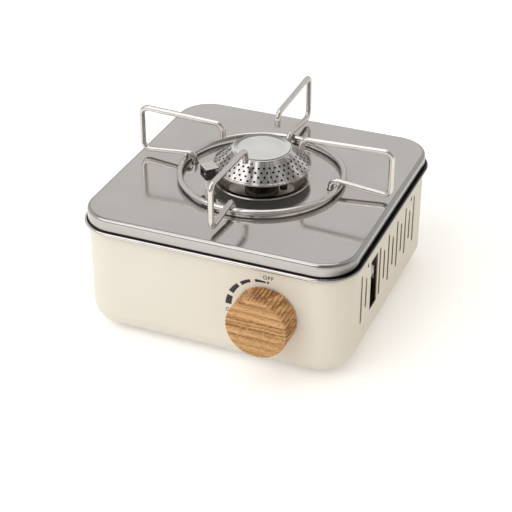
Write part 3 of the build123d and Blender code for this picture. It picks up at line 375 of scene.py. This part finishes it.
def plate_finish(steel):
    """Polished stainless sheet, finely brushed, with painted dark reflection at its fold and
    painted shade on its turned-down edge.
    """
    made = Finish("polished_plate", steel, 0.16, 0.92)
    warm, fold_shade_grey = (1.0, 0.974, 0.945), (0.10, 0.097, 0.093)
    _, _, z = made.axes()
    across, _, upright = made.normal()
    brushing = made.grain((60, 5200, 900), 3, 0.6)
    sheet = made.tones(made.mottle(22, 3), steel, 0.97, 1.02)
    frost = made.fall(made.grain((700, 1500, 1500), 3, 0.7), 0.40, 0.60, 0.16)
    sheet = made.mix(frost, sheet, shade(steel, 0.6))
    height = made.math("DIVIDE", made.minus(z, PLATE_LOW.z), PLATE_HIGH.z - PLATE_LOW.z)
    # Painted shade and dark reflection on the turned-down edge: darker towards its bottom, and
    # darker still at the right.
    front = made.ramp(height, (0.0, 0.08), (0.07, 0.40), (0.22, 0.49), (0.90, 0.52))
    right = made.ramp(height, (0.02, 0.05), (0.28, 0.13), (0.55, 0.32), (0.95, 0.40))
    edge = made.mix(made.span(across, 0.25, 0.85), front, right)
    edge = made.mix(1.0, edge, warm, "MULTIPLY")
    rim = made.math("GREATER_THAN", z, PLATE_HIGH.z - 3.0 * MM)
    # Painted dark reflection along the fold, and painted shade on the right-facing rim.
    fold = made.times(made.ramp(upright, *PLATE_CREASE_SHADE), rim)
    turn = made.times(made.span(across, 0.06, 0.30, 0.0, 0.38), rim)
    plain = made.mix(made.fall(upright, 0.30, 0.70), sheet, edge)
    made.colour(made.mix(made.most(fold, turn), plain, fold_shade_grey))
    smear = made.times(made.span(made.noise(38, 4), 0.4, 0.75), 0.03)
    made.roughness(made.plus(made.even(brushing, 0.075, 0.115), smear))
    return made.relief(brushing, 0.05, 0.03 * MM)


def trim_finish(steel):
    """Bright plated bead with hairlines; painted shade where it turns to the gutter, underneath and
    at the right.
    """
    made = Finish("bright_bead", shade(steel, 1.1), 0.14, 1.0)
    underside_shade, gutter_shade_grey = (0.16, 0.155, 0.15), (0.03, 0.028, 0.026)
    x, y, _ = made.axes()
    across, _, upright = made.normal()
    hairlines = made.grain((300, 300, 9000), 2)
    bright = made.tones(made.span(made.noise(60, 3), 0.35, 0.7), steel, 1.02, 1.18)
    # Painted shade: the bead is dimmer at the right, dark underneath and dark in the gutter.
    right = made.span(across, 0.0, 0.7)
    gutter = made.span(made.plus(upright, made.times(right, 0.2)), 0.78, 0.97)
    front = made.times(
        made.fall(y, 0.94 * BEAD_LOW.y, 0.86 * BEAD_LOW.y, 0.9),
        made.span(x, 0.93 * BEAD_LOW.x, 0.72 * BEAD_LOW.x, 0.15, 1.0),
    )
    near = made.most(made.span(x, 0.70 * BEAD_HIGH.x, 0.95 * BEAD_HIGH.x), front)
    gutter = made.most(made.times(gutter, near), made.fall(made.outward(), -0.03, 0.0))
    tone = made.mix(right, bright, shade(steel, 0.50))
    tone = made.mix(made.fall(upright, -0.7, -0.1, 0.6), tone, underside_shade)
    made.colour(made.mix(gutter, tone, gutter_shade_grey))
    made.roughness(made.even(hairlines, 0.10, 0.18))
    return made.relief(hairlines, 0.06, 0.02 * MM)


def wire_finish(steel):
    """Polished wire with painted shade underneath, and a faint straw tint towards the flame."""
    made = Finish("polished_wire", steel, 0.2, 0.9, Specular_Tint=(0.62, 0.61, 0.60, 1))
    underside_shade, straw = (0.06, 0.057, 0.054), (0.50, 0.44, 0.36)
    _, _, upright = made.normal()
    tone = made.tones(made.span(made.noise(420, 4), 0.35, 0.7), steel, 1.13, 1.21)
    # Painted shade on the underside.
    tone = made.mix(made.fall(upright, -0.97, -0.62, 0.85), tone, underside_shade)
    heat = made.times(made.fall(made.from_axis(), 26 * MM, 40 * MM), made.mottle(90, 3, 0.05, 0.25))
    made.colour(made.mix(heat, tone, straw))
    made.roughness(made.mottle(150, 4, 0.17, 0.24))
    return made.relief(made.noise(90, 2), 0.05, 0.2 * MM)


def burner_finish(steel):
    """Bright stamped skirt with upright streaks of painted reflection over a slight waviness;
    painted shade inside and in its ports, and a painted highlight on its rolled edge.
    """
    made = Finish("burner_skirt_sheet", steel, 0.2, 1.0, Specular_Tint=(0.5, 0.49, 0.48, 1))
    port_shade = (0.004, 0.004, 0.004)
    slope_out, slope_up = 0.62, 0.79
    _, _, z = made.axes()
    _, _, upright = made.normal()
    wave_and_reflection = made.noise(1.0, 2, vector=made.around(5.0))
    fine = made.noise(1.0, 2, vector=made.around(22.0))
    lean = made.math("DIVIDE", made.outward(), made.from_axis())
    exposed = made.plus(made.times(lean, slope_out), made.times(upright, slope_up))
    # Painted reflection: upright bright and dark streaks round the skirt; faces turned away are
    # painted shade.
    bright = made.tones(made.span(wave_and_reflection, 0.40, 0.60), steel, 0.62, 1.25)
    sheet = made.mix(made.span(exposed, 0.42, 0.70), port_shade, bright)
    # Painted highlight along the rolled lower edge.
    roll_highlight = made.fall(z, SKIRT_LOW.z + 0.5 * MM, SKIRT_LOW.z + 1.4 * MM)
    made.colour(made.mix(roll_highlight, sheet, shade(steel, 1.35)))
    made.roughness(made.span(exposed, 0.30, 0.62, 0.7, 0.24))
    return made.relief(made.plus(wave_and_reflection, made.times(fine, 0.08)), 1.0, 0.10 * MM)


def dish_finish(steel):
    """Pressed dish under the skirt, browned by heat, with spun rings."""
    made = Finish("browned_dish", shade(steel, 0.6), 0.3, 1.0)
    stain, ring_dark, ring_light = (0.12, 0.10, 0.082), (0.19, 0.168, 0.145), (0.26, 0.235, 0.205)
    rings = made.node("ShaderNodeCombineXYZ")
    made.join(made.times(made.from_axis(), 2600), rings.inputs[0])
    spun = made.even(made.noise(1.0, 3, 0.6, vector=rings.outputs[0]))
    made.colour(made.mix(made.mottle(60, 4), stain, made.mix(spun, ring_dark, ring_light)))
    made.roughness(made.plus(made.times(spun, 0.1), 0.22))
    return made.relief(spun, 0.08, 0.04 * MM)


def cap_finish():
    """Pale satin plating on the burner cap; its sloped rim is polished, with a painted dark
    reflection on its back half, where it faces the front.
    """
    made = Finish("satin_cap", (0.84, 0.83, 0.81), 0.42, 0.6)
    disc_dark, disc_light = (0.76, 0.752, 0.742), (0.82, 0.812, 0.80)
    rim_light, rim_dark_reflection = (0.86, 0.85, 0.84), (0.30, 0.29, 0.28)
    across, along, _ = made.normal()
    grit = made.noise(1500, 3)
    disc = made.mix(made.span(made.noise(70, 4), 0.35, 0.7), disc_dark, disc_light)
    flat = made.fall(made.from_axis(), 0.80 * CAP_RADIUS, 0.83 * CAP_RADIUS)
    lip = made.span(made.from_axis(), 0.965 * CAP_RADIUS, 0.985 * CAP_RADIUS)
    # Painted dark reflection on the rim where it faces the front.
    facing = made.plus(made.times(across, 0.6), made.times(along, -0.8))
    ring = made.mix(made.span(facing, -0.02, 0.14), rim_light, rim_dark_reflection)
    ring = made.mix(lip, ring, rim_light)
    made.colour(made.mix(flat, ring, disc))
    polish = made.times(made.minus(1.0, flat), 0.10)
    made.roughness(made.minus(made.even(grit, 0.40, 0.50), polish))
    return made.relief(grit, 0.10, 0.04 * MM)


def bowl_finish(steel):
    """Heat-browned stainless bowl with a brighter outer lip."""
    made = Finish("stained_bowl", (0.30, 0.27, 0.235), 0.2, 1.0)
    stain = made.noise(70, 5, 0.6)
    lip = made.span(made.from_axis(), 32.5 * MM, 34.5 * MM)
    brown = made.mix(made.even(stain), (0.24, 0.205, 0.17), (0.38, 0.345, 0.30))
    made.colour(made.mix(lip, brown, shade(steel, 1.05)))
    made.roughness(made.even(stain, 0.14, 0.26))
    return made.relief(made.noise(700, 3), 0.05, 0.03 * MM)


def hood_finish(steel):
    """Folded stainless hood: roof painted bright as if lit, walls painted dark as shade."""
    made = Finish("folded_hood", steel, 0.26, 1.0)
    _, _, upright = made.normal()
    grain = made.even(made.grain((240, 240, 1500), 3))
    # Painted light: the walls get painted shade and the roof a painted highlight.
    walls = made.mix(grain, (0.085, 0.078, 0.072), (0.12, 0.112, 0.104))
    roof = made.tones(grain, steel, 1.32, 1.45)
    made.colour(made.mix(made.span(upright, 0.5, 0.9), walls, roof))
    made.roughness(made.mottle(180, 2, 0.26, 0.34))
    return made.relief(made.noise(120, 2), 0.03, 0.05 * MM)


WOOD_LINES = (  # height on the knob's face as a share of its radius, and how dark the line is
    (-0.76, 0.35),
    (-0.56, 0.30),
    (-0.33, 0.75),
    (-0.03, 1.0),
    (0.10, 0.75),
    (0.22, 0.85),
    (0.50, 0.40),
    (0.84, 0.75),
    (1.04, 0.95),
)


def wood_finish(wood):
    """Open-grained wood: dark late-growth lines along the width, short pores, one pin knot, and
    painted shade in the grooves of its rim.
    """
    made = Finish("oiled_wood", wood, 0.55, Specular_IOR_Level=0.12)
    late_wood, brown, pale = (0.19, 0.068, 0.016), (0.30, 0.125, 0.04), (0.80, 0.53, 0.30)
    middle = (KNOB_X, 0, KNOB_Z)
    x, y, z = made.axes()
    across, up = made.minus(x, KNOB_X), made.minus(z, KNOB_Z)

    rings = made.node(
        "ShaderNodeTexWave", wave_type="BANDS", bands_direction="DIAGONAL", wave_profile="SAW"
    )
    made.join(made.place((55, 420, 1000), (KNOB_X, KNOB_LOW.y, KNOB_Z)), rings.inputs["Vector"])
    settings = {"Scale": 0.105, "Distortion": 9.0, "Detail": 2.0, "Detail Scale": 0.35}
    for socket, number in (*settings.items(), ("Detail Roughness", 0.6)):
        rings.inputs[socket].default_value = number
    growth = rings.outputs["Fac"]
    light = made.ramp(
        growth,
        (0.0, shade(wood, 1.0)),
        (0.30, shade(wood, 1.16)),
        (0.62, shade(wood, 0.94)),
        (1.0, shade(wood, 0.80)),
    )
    late = made.ramp(growth, (0.50, 0.0), (0.78, 0.14), (0.92, 0.32), (1.0, 0.05))

    # Listed growth lines: they waver, and climb a little towards the back of the knob.
    edge = 1.3
    climb = made.times(made.minus(y, KNOB_LOW.y), 0.15)
    waver = made.times(made.minus(made.grain((55, 60, 260), 3, 0.55, middle), 0.5), 2.8 * MM)
    level = made.plus(made.plus(up, climb), waver)
    level = made.span(level, -edge * KNOB_RADIUS, edge * KNOB_RADIUS, interpolation="LINEAR")
    stops = [(0.0, 0.0)]
    for line, weight in WOOD_LINES:
        spot = (line + edge) / (2 * edge)
        stops += [(spot - 0.012, 0.0), (spot, weight), (spot + 0.030, 0.0)]
    tone = made.mix(made.most(late, made.ramp(level, *stops)), light, late_wood)

    fleck = made.grain((260, 700, 1200), 3, 0.6, middle, 0.1)
    pores = made.grain((420, 1200, 1700), 2, 0.5, middle)
    tone = made.mix(made.fall(fleck, 0.34, 0.50, 0.65), tone, brown)
    tone = made.mix(made.span(pores, 0.52, 0.64, 0.0, 0.55), tone, pale)

    reach = made.hypotenuse(across, up)
    # Painted shade in the grooves between the rim's ribs.
    groove_shade = made.fall(reach, KNOB_RADIUS - 0.75 * MM, KNOB_RADIUS - 0.1 * MM, 0.45)
    behind = made.span(y, KNOB_LOW.y + 1.2 * MM, KNOB_LOW.y + 2.2 * MM)
    tone = made.mix(made.times(groove_shade, behind), tone, shade(late_wood, 0.8))
    knot_centre = (KNOB_X - 3.0 * MM, KNOB_LOW.y, KNOB_Z + 6.0 * MM)
    knot = made.vector_math("DISTANCE", made.coords, knot_centre).outputs["Value"]
    made.colour(made.mix(made.fall(knot, 0.3 * MM, 1.0 * MM, 0.8), tone, shade(wood, 0.25)))
    made.roughness(made.even(fleck, 0.62, 0.5))
    return made.relief(fleck, 0.35, 0.2 * MM)


def ceramic_finish():
    """White glazed porcelain with a few brown specks."""
    made = Finish(
        "glazed_ceramic", (0.86, 0.85, 0.82), 0.16, Coat_Weight=0.5, Coat_Roughness=0.06
    )
    glaze = made.mix(made.mottle(160, 3), (0.84, 0.83, 0.80), (0.88, 0.87, 0.84))
    speck = made.fall(made.cells(900)["Distance"], 0.04, 0.1, 0.5)
    made.colour(made.mix(speck, glaze, (0.5, 0.42, 0.33)))
    return made.relief(made.noise(300, 2), 0.05, 0.1 * MM)


def cast_finish():
    """Die-cast zinc with a grainy skin."""
    made = Finish("cast_zinc", (0.42, 0.42, 0.415), 0.5, 0.9)
    skin = made.noise(900, 4, 0.6)
    made.colour(made.mix(made.even(skin), (0.36, 0.36, 0.355), (0.48, 0.48, 0.47)))
    made.roughness(made.mottle(120, 3, 0.42, 0.58))
    return made.relief(skin, 0.3, 0.12 * MM)


def turned_finish(name, colour, rough):
    """Turned or drawn metal with fine tool marks."""
    made = Finish(name, colour, rough, 1.0)
    marks = made.grain((3500, 3500, 3500), 3)
    made.colour(made.tones(made.mottle(200, 4), colour, 0.86, 1.06))
    made.roughness(made.even(marks, rough * 0.8, rough * 1.25))
    return made.relief(marks, 0.1, 0.04 * MM)


def spangle_finish(name, colour):
    """Zinc-plated sheet with soft crystal spangles."""
    made = Finish(name, colour, 0.38, 1.0)
    tone = made.span(made.cells(170)["Color"], 0.0, 1.0)
    made.colour(made.tones(tone, colour, 0.88, 1.08))
    made.roughness(made.plus(made.times(tone, 0.12), 0.32))
    return made.relief(made.noise(800, 3), 0.06, 0.04 * MM)


def moulded_finish(name, colour, rough):
    """Moulded plastic or rubber, or a matt black coat, with a fine spark-eroded texture."""
    made = Finish(name, colour, rough, Specular_IOR_Level=0.35)
    grit = made.noise(1600, 3, 0.6)
    made.colour(made.tones(made.mottle(60, 3), colour, 0.88, 1.12))
    made.roughness(made.even(grit, rough * 0.88, min(1.0, rough * 1.12)))
    return made.relief(grit, 0.25, 0.08 * MM)


def ink_finish(ink):
    """Screen-printed ink, a touch uneven."""
    made = Finish("dial_ink", ink, 0.5)
    made.colour(made.tones(made.span(made.noise(900, 4), 0.35, 0.75), ink, 0.8, 1.5))
    made.roughness(made.mottle(500, 3, 0.42, 0.6))
    return made.relief(made.noise(2400, 2), 0.05, 0.02 * MM)


def make_finishes():
    """Every finish, by the name of its slot."""
    colours = bpy.context.scene.stove_colours
    steel = tuple(colours.steel)
    return {
        "enamel": enamel_finish(tuple(colours.enamel)),
        "plate_steel": plate_finish(steel),
        "bright_trim": trim_finish(steel),
        "wire_steel": wire_finish(shade(steel, 0.95)),
        "burner_steel": burner_finish(steel),
        "dish_steel": dish_finish(steel),
        "lever_steel": turned_finish("bright_lever", (0.86, 0.85, 0.83), 0.35),
        "clip_steel": moulded_finish("blackened_clips", (0.035, 0.033, 0.03), 0.6),
        "screw_steel": moulded_finish("sooted_screws", (0.17, 0.155, 0.135), 0.55),
        "cradle_steel": spangle_finish("blackened_cradle", (0.06, 0.055, 0.05)),
        "cap_steel": cap_finish(),
        "bowl_steel": bowl_finish(steel),
        "hood_steel": hood_finish(shade(steel, 0.95)),
        "ceramic": ceramic_finish(),
        "wood": wood_finish(tuple(colours.wood)),
        "zinc": cast_finish(),
        "brass": turned_finish("turned_brass", (0.66, 0.47, 0.20), 0.25),
        "copper_pipe": turned_finish("drawn_copper", (0.62, 0.34, 0.20), 0.3),
        "sheet": spangle_finish("zinc_plated_sheet", (0.52, 0.52, 0.50)),
        "fastener": turned_finish("plated_screws", (0.58, 0.58, 0.57), 0.28),
        "black_rubber": moulded_finish("black_rubber", (0.018, 0.018, 0.018), 0.8),
        "nylon": moulded_finish("black_nylon", (0.03, 0.03, 0.032), 0.5),
        "piezo_plastic": moulded_finish("igniter_case", (0.05, 0.05, 0.058), 0.45),
        "red_plastic": moulded_finish("red_plunger", (0.42, 0.03, 0.022), 0.45),
        "silicone": moulded_finish("silicone_sleeve", (0.62, 0.59, 0.54), 0.55),
        "ink": ink_finish(tuple(colours.ink)),
    }


OWN_SLOTS = {  # nodes that get another finish than the one their record names
    "burner_base": "dish_steel",
    "lock_lever": "lever_steel",
    "plate_clips": "clip_steel",
    "can_cradle": "cradle_steel",
    "burner_screws": "screw_steel",
}


# ---------------------------------------------------------------- mesh helpers


def piece(name, bm, slot, body="stove", smooth=0.6):
    """A finished object from a bmesh, riding on a body. Edges over smooth radians stay sharp."""
    bmesh.ops.remove_doubles(bm, verts=bm.verts, dist=1e-7)
    bmesh.ops.recalc_face_normals(bm, faces=bm.faces)
    mesh = bpy.data.meshes.new(name)
    bm.to_mesh(mesh)
    bm.free()
    for face in mesh.polygons:
        face.use_smooth = smooth is not None
    made = bpy.data.objects.new(name, mesh)
    bpy.context.collection.objects.link(made)
    if smooth is not None:
        mesh.set_sharp_from_angle(angle=smooth)
    mesh.materials.append(bpy.data.materials[slot])
    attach(made, body)
    return made


def turned(profile, axis, centre, steps=32):
    """A bmesh turned from a closed (radius, along) profile about an axis through a point."""
    bm = bmesh.new()
    lead = Vector(axis).normalized()
    side = lead.orthogonal().normalized()
    middle = Vector(centre)
    spots = [bm.verts.new(middle + side * radius + lead * along) for radius, along in profile]
    edges = [bm.edges.new(pair) for pair in zip(spots, spots[1:] + spots[:1])]
    bmesh.ops.spin(
        bm,
        geom=spots + edges,
        cent=centre,
        axis=lead,
        angle=math.tau,
        steps=steps,
        use_merge=True,
        use_duplicate=False,
    )
    return bm


def raise_print(bm, thick):
    """Give flat print on the front wall its thickness."""
    lifted = bmesh.ops.extrude_face_region(bm, geom=list(bm.faces), use_keep_orig=True)
    verts = [part for part in lifted["geom"] if isinstance(part, bmesh.types.BMVert)]
    bmesh.ops.translate(bm, verts=verts, vec=(0, -thick, 0))


def on_front_wall(spot):
    """The matrix that stands flat work upright at a spot on the front wall."""
    return Matrix.Translation(spot) @ Matrix.Rotation(math.pi / 2, 4, "X")


def ray(degrees):
    """The way out from the dial's centre at an angle, counted from the right."""
    return Vector((math.cos(math.radians(degrees)), 0, math.sin(math.radians(degrees))))


# ---------------------------------------------------------------- pieces


class STOVE_OT_finishes(bpy.types.Operator):
    """Give every solid its own finish"""

    bl_idname = "stove.finishes"
    bl_label = "Finishes"

    def execute(self, context):
        made = make_finishes()
        slots = {part["node"]: part["material_slot"] for part in FRAME["record"]["subparts"]}
        slots.update(OWN_SLOTS)
        for node, solid in FRAME["nodes"].items():
            if not solid.material_slots:
                solid.data.materials.append(made[slots[node]])
            for held in solid.material_slots:
                held.material = made[slots[node]]
        return {"FINISHED"}


DASHES = (  # start and end in degrees, then the inner and outer radius in mm at each of them
    (83.5, 101.5, 23.8, 25.0, 23.4, 25.7),
    (110.0, 128.5, 23.5, 25.7, 23.0, 25.8),
    (134.5, 154.5, 23.1, 26.1, 22.9, 26.7),
    (161.5, 178.5, 22.3, 26.4, 22.3, 26.9),
)
DOT_ANGLE, DOT_REACH, DOT_RADIUS = 79.6, 24.9 * MM, 0.85 * MM


class STOVE_OT_dial_marks(bpy.types.Operator):
    """Print the dot and the swelling dashes of the dial round the knob"""

    bl_idname = "stove.dial_marks"
    bl_label = "Dial marks"

    centre: bpy.props.FloatVectorProperty(
        name="Centre",
        description="Centre of the dial on the front wall",
        default=(40.1 * MM, 48.4 * MM),
        size=2,
        unit="LENGTH",
    )

    def execute(self, context):
        middle = Vector((self.centre[0], WALL_Y, self.centre[1]))
        bm = bmesh.new()
        for dash in DASHES:
            self.dash(bm, middle, *dash)
        bmesh.ops.create_circle(
            bm,
            cap_ends=True,
            segments=20,
            radius=DOT_RADIUS,
            matrix=on_front_wall(middle + ray(DOT_ANGLE) * DOT_REACH),
        )
        raise_print(bm, context.scene.stove_sizes.print_thickness)
        piece("dial_marks", bm, "dial_ink", smooth=None)
        return {"FINISHED"}

    def dash(self, bm, middle, start, end, low_a, high_a, low_b, high_b):
        """A flat dash, spun from its first edge and then swollen towards its end."""
        ends = [bm.verts.new(middle + ray(start) * radius * MM) for radius in (low_a, high_a)]
        turn = math.radians(end - start)
        line = [*ends, bm.edges.new(ends)]
        bmesh.ops.spin(bm, geom=line, cent=middle, axis=(0, -1, 0), angle=turn, steps=16)
        strip = {v for face in bm.faces for v in face.verts if not face.tag}
        for v in strip:
            arm = v.co - middle
            share = (math.degrees(math.atan2(arm.z, arm.x)) - start) / (end - start)
            outer = arm.length > (low_a + high_a) / 2 * MM
            first, last = (high_a, high_b) if outer else (low_a, low_b)
            v.co = middle + arm.normalized() * (first + (last - first) * share) * MM
        for face in bm.faces:
            face.tag = True


WORDS = (  # piece, text, x and z of its middle on the front wall and its width, in mm
    ("word_off", "OFF", 44.7, 76.5, 7.5),
    ("word_on", "ON", 16.3, 44.2, 5.4),
)


class STOVE_OT_dial_words(bpy.types.Operator):
    """Print ON and OFF beside the dial"""

    bl_idname = "stove.dial_words"
    bl_label = "Dial words"

    def execute(self, context):
        sizes = context.scene.stove_sizes
        for name, text, x, z, width in WORDS:
            bm = self.letters(name, text)
            low = [min(v.co[i] for v in bm.verts) for i in (0, 1)]
            high = [max(v.co[i] for v in bm.verts) for i in (0, 1)]
            middle = Vector(((low[0] + high[0]) / 2, (low[1] + high[1]) / 2, 0))
            bmesh.ops.translate(bm, verts=bm.verts, vec=-middle)
            grow = (width * MM / (high[0] - low[0]), sizes.letter_height / (high[1] - low[1]), 1)
            bmesh.ops.scale(bm, verts=bm.verts, vec=grow)
            bmesh.ops.transform(
                bm, verts=bm.verts, matrix=on_front_wall((x * MM, WALL_Y, z * MM))
            )
            raise_print(bm, sizes.print_thickness)
            piece(name, bm, "dial_ink", smooth=None)
        return {"FINISHED"}

    def letters(self, name, text):
        """A word as a flat bmesh: thickened letters, set a little apart."""
        curve = bpy.data.curves.new(name, "FONT")
        curve.body = text
        curve.align_x = "CENTER"
        curve.align_y = "CENTER"
        curve.size = 1.0
        curve.offset = 0.016
        curve.space_character = 1.15
        curve.resolution_u = 6
        scratch = bpy.data.objects.new(name + "_line", curve)
        flat = bpy.data.meshes.new_from_object(scratch)
        bpy.data.objects.remove(scratch)
        bm = bmesh.new()
        bm.from_mesh(flat)
        bpy.data.meshes.remove(flat)
        return bm


class STOVE_OT_lead_boots(bpy.types.Operator):
    """Slip a ribbed rubber boot over each end of the ignition lead"""

    bl_idname = "stove.lead_boots"
    bl_label = "Lead boots"

    def execute(self, context):
        length = context.scene.stove_sizes.boot_length
        _, wire_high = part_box("ignition_wire")
        case_low, case_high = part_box("piezo_body")
        rod_low, rod_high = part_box("spark_rod")
        wire = 1.3 * MM
        ribs = (  # radius in mm, share of the boot's length
            (2.5, 0),
            (2.5, 0.3),
            (2.1, 0.36),
            (2.3, 0.44),
            (2.0, 0.52),
            (2.2, 0.6),
            (1.8, 0.7),
            (1.6, 1),
        )
        profile = [(wire, 0), *((radius * MM, share * length) for radius, share in ribs)]
        profile.append((wire, length))
        igniter = (case_low.x, (case_low.y + case_high.y) / 2, wire_high.z - wire)
        piece("boot_igniter", turned(profile, (-1, 0, 0), igniter), "black_rubber")
        rod_x, rod_y = (rod_low.x + rod_high.x) / 2, (rod_low.y + rod_high.y) / 2
        electrode = (rod_x, rod_y, rod_low.z + 0.35 * length)
        piece("boot_electrode", turned(profile, (0, 0, -1), electrode), "black_rubber")
        return {"FINISHED"}


class STOVE_OT_pipe_unions(bpy.types.Operator):
    """Put a brass union nut on each end of the gas pipe"""

    bl_idname = "stove.pipe_unions"
    bl_label = "Pipe unions"

    def execute(self, context):
        half = context.scene.stove_sizes.nut_width / 2
        low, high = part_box("gas_pipe")
        pipe, flats, height = 2.5 * MM, 5 * MM, 6 * MM
        nose = 0.62 * half + 0.8 * MM
        profile = [(pipe, 0), (half, 0), (half, flats), (nose, height), (pipe, height)]
        spots = (
            ("union_regulator", (high.x, low.y + pipe, low.z + pipe), (-1, 0, 0)),
            ("union_jet", (low.x + pipe, high.y, high.z - pipe), (0, -1, 0)),
        )
        for name, centre, axis in spots:
            piece(name, turned(profile, axis, centre, steps=6), "turned_brass", smooth=None)
        return {"FINISHED"}


# ---------------------------------------------------------------- studio

AIM = (0, 0, 0.05)
LENS, SENSOR = 99.45, 36.0
CAMERA_PLACE = (0.3388, -0.8347, 0.5854)
CAMERA_AXES = (  # right, up and back
    (0.92481, 0.38042, 0.0),
    (-0.20041, 0.48720, 0.84998),
    (0.32335, -0.78608, 0.52681),
)
SKY_BANDS = (  # height in the sky as its sine, and brightness
    (0.0, 0.36),
    (0.22, 0.42),
    (0.42, 0.45),
    (0.60, 0.40),
    (0.76, 0.30),
    (0.88, 0.40),
    (0.95, 0.36),
    (1.0, 0.30),
)


class STOVE_OT_studio(bpy.types.Operator):
    """Set the floor, the soft lamps, the pale surround and the camera"""

    bl_idname = "stove.studio"
    bl_label = "Studio"

    key: bpy.props.FloatProperty(
        name="Key", description="Power of the large lamp at the front left", default=12.3
    )
    fill: bpy.props.FloatProperty(
        name="Fill", description="Power of the warm lamp at the right", default=0.6
    )
    top: bpy.props.FloatProperty(
        name="Top", description="Power of the lamp overhead", default=3.6
    )
    surround: bpy.props.FloatProperty(
        name="Surround", description="Strength of the surround on matt surfaces", default=0.70
    )
    lift: bpy.props.FloatProperty(
        name="Lift", description="How far the floor is lifted to white", default=0.30
    )

    def execute(self, context):
        self.floor(context)
        self.surround_light(context)
        self.lamp(context, "key_lamp", (-0.75, -1.15, 1.35), 2.0, self.key)
        self.lamp(context, "fill_lamp", (1.3, -0.5, 0.8), 1.3, self.fill, (1.0, 0.80, 0.55))
        self.lamp(context, "top_lamp", (-0.1, 0.1, 1.5), 1.2, self.top)
        self.camera(context)
        context.scene.view_settings.view_transform = "Standard"
        return {"FINISHED"}

    def floor(self, context):
        """A pale floor that the camera and metal see lifted to white, with the stove's shadow."""
        bm = bmesh.new()
        bmesh.ops.create_grid(bm, x_segments=2, y_segments=2, size=6.0)
        mesh = bpy.data.meshes.new("floor")
        bm.to_mesh(mesh)
        bm.free()
        floor = bpy.data.objects.new("floor", mesh)
        context.collection.objects.link(floor)
        made = Finish("pale_floor", (0.93, 0.93, 0.93), 0.9, Specular_IOR_Level=0.1)
        made.colour(made.mix(made.mottle(3, 2), (0.93, 0.915, 0.89), (0.94, 0.925, 0.90)))
        path = made.node("ShaderNodeLightPath").outputs
        seen = made.most(path["Is Camera Ray"], path["Is Glossy Ray"])
        seen = made.most(seen, path["Is Transmission Ray"])
        made.shader.inputs["Emission Color"].default_value = (1, 1, 1, 1)
        made.join(made.times(seen, self.lift), made.shader.inputs["Emission Strength"])
        mesh.materials.append(made.material)

    def surround_light(self, context):
        """White to the camera; a banded sky for metal; a lower level for matt surfaces."""
        world = context.scene.world or bpy.data.worlds.new("studio")
        context.scene.world = world
        world.use_nodes = True
        world.node_tree.nodes.clear()
        made = Recipe(world.node_tree, "Generated")

        def background(colour, strength):
            light = made.node("ShaderNodeBackground")
            made.feed(light.inputs["Color"], colour)
            made.feed(light.inputs["Strength"], strength)
            return light.outputs[0]

        def choose(factor, plain, other):
            chosen = made.node("ShaderNodeMixShader")
            for socket, source in zip(chosen.inputs, (factor, plain, other)):
                made.join(source, socket)
            return chosen.outputs[0]

        def towards(way):
            return made.vector_math("DOT_PRODUCT", made.coords, way).outputs["Value"]

        _, _, height = made.axes()
        bands = ((spot, (grey, grey * 0.992, grey * 0.98)) for spot, grey in SKY_BANDS)
        dim = made.span(towards((0.38, -0.925, 0)), -0.05, 0.45, 1.65, 0.60)
        shine = background(made.ramp(height, *bands), dim)
        warm = made.ramp(
            towards((0.95, 0.30, 0)), (0.0, (1.0, 1.0, 0.99)), (0.75, (0.64, 0.56, 0.45))
        )
        matt = background(warm, self.surround)
        white = background((1, 1, 1), 1.0)
        path = made.node("ShaderNodeLightPath").outputs
        seen = made.most(path["Is Camera Ray"], path["Is Transmission Ray"])
        light = choose(seen, choose(path["Is Glossy Ray"], matt, shine), white)
        made.join(light, made.node("ShaderNodeOutputWorld").inputs["Surface"])

    def lamp(self, context, name, place, size, power, tint=(1, 1, 1)):
        data = bpy.data.lights.new(name, "AREA")
        data.shape = "DISK"
        data.size = size
        data.energy = power
        data.color = tint
        made = bpy.data.objects.new(name, data)
        context.collection.objects.link(made)
        made.location = place
        made.rotation_mode = "QUATERNION"
        made.rotation_quaternion = (Vector(AIM) - Vector(place)).to_track_quat("-Z", "Y")

    def camera(self, context):
        data = bpy.data.cameras.new("camera")
        data.sensor_width = SENSOR
        data.lens = LENS
        data.clip_start, data.clip_end = 0.05, 50
        made = bpy.data.objects.new("camera", data)
        context.collection.objects.link(made)
        turn = Matrix(CAMERA_AXES).transposed().to_4x4()
        made.matrix_world = Matrix.Translation(CAMERA_PLACE) @ turn
        context.scene.camera = made


# ---------------------------------------------------------------- add-on


class STOVE_PT_panel(bpy.types.Panel):
    """Lists the settings and the pieces of the stove"""

    bl_idname = "STOVE_PT_panel"
    bl_label = "Stove"
    bl_space_type = "VIEW_3D"
    bl_region_type = "UI"
    bl_category = "Stove"

    def draw(self, context):
        layout = self.layout
        for group in (context.scene.stove_sizes, context.scene.stove_colours):
            for name in group.bl_rna.properties.keys():
                if name not in {"rna_type", "name"}:
                    layout.prop(group, name)
        for step in STEPS:
            layout.operator(step.bl_idname)


STEPS = (
    STOVE_OT_finishes,
    STOVE_OT_dial_marks,
    STOVE_OT_dial_words,
    STOVE_OT_lead_boots,
    STOVE_OT_pipe_unions,
    STOVE_OT_studio,
)
CLASSES = (StoveSizes, StoveColours, *STEPS, STOVE_PT_panel)


def register():
    for made in CLASSES:
        bpy.utils.register_class(made)
    bpy.types.Scene.stove_sizes = bpy.props.PointerProperty(type=StoveSizes)
    bpy.types.Scene.stove_colours = bpy.props.PointerProperty(type=StoveColours)


def unregister():
    del bpy.types.Scene.stove_colours
    del bpy.types.Scene.stove_sizes
    for made in reversed(CLASSES):
        bpy.utils.unregister_class(made)


def main():
    register()
    bpy.ops.stove.finishes()
    bpy.ops.stove.dial_marks()
    bpy.ops.stove.dial_words()
    bpy.ops.stove.lead_boots()
    bpy.ops.stove.pipe_unions()
    bpy.ops.stove.studio()


if __name__ == "__main__":
    main()
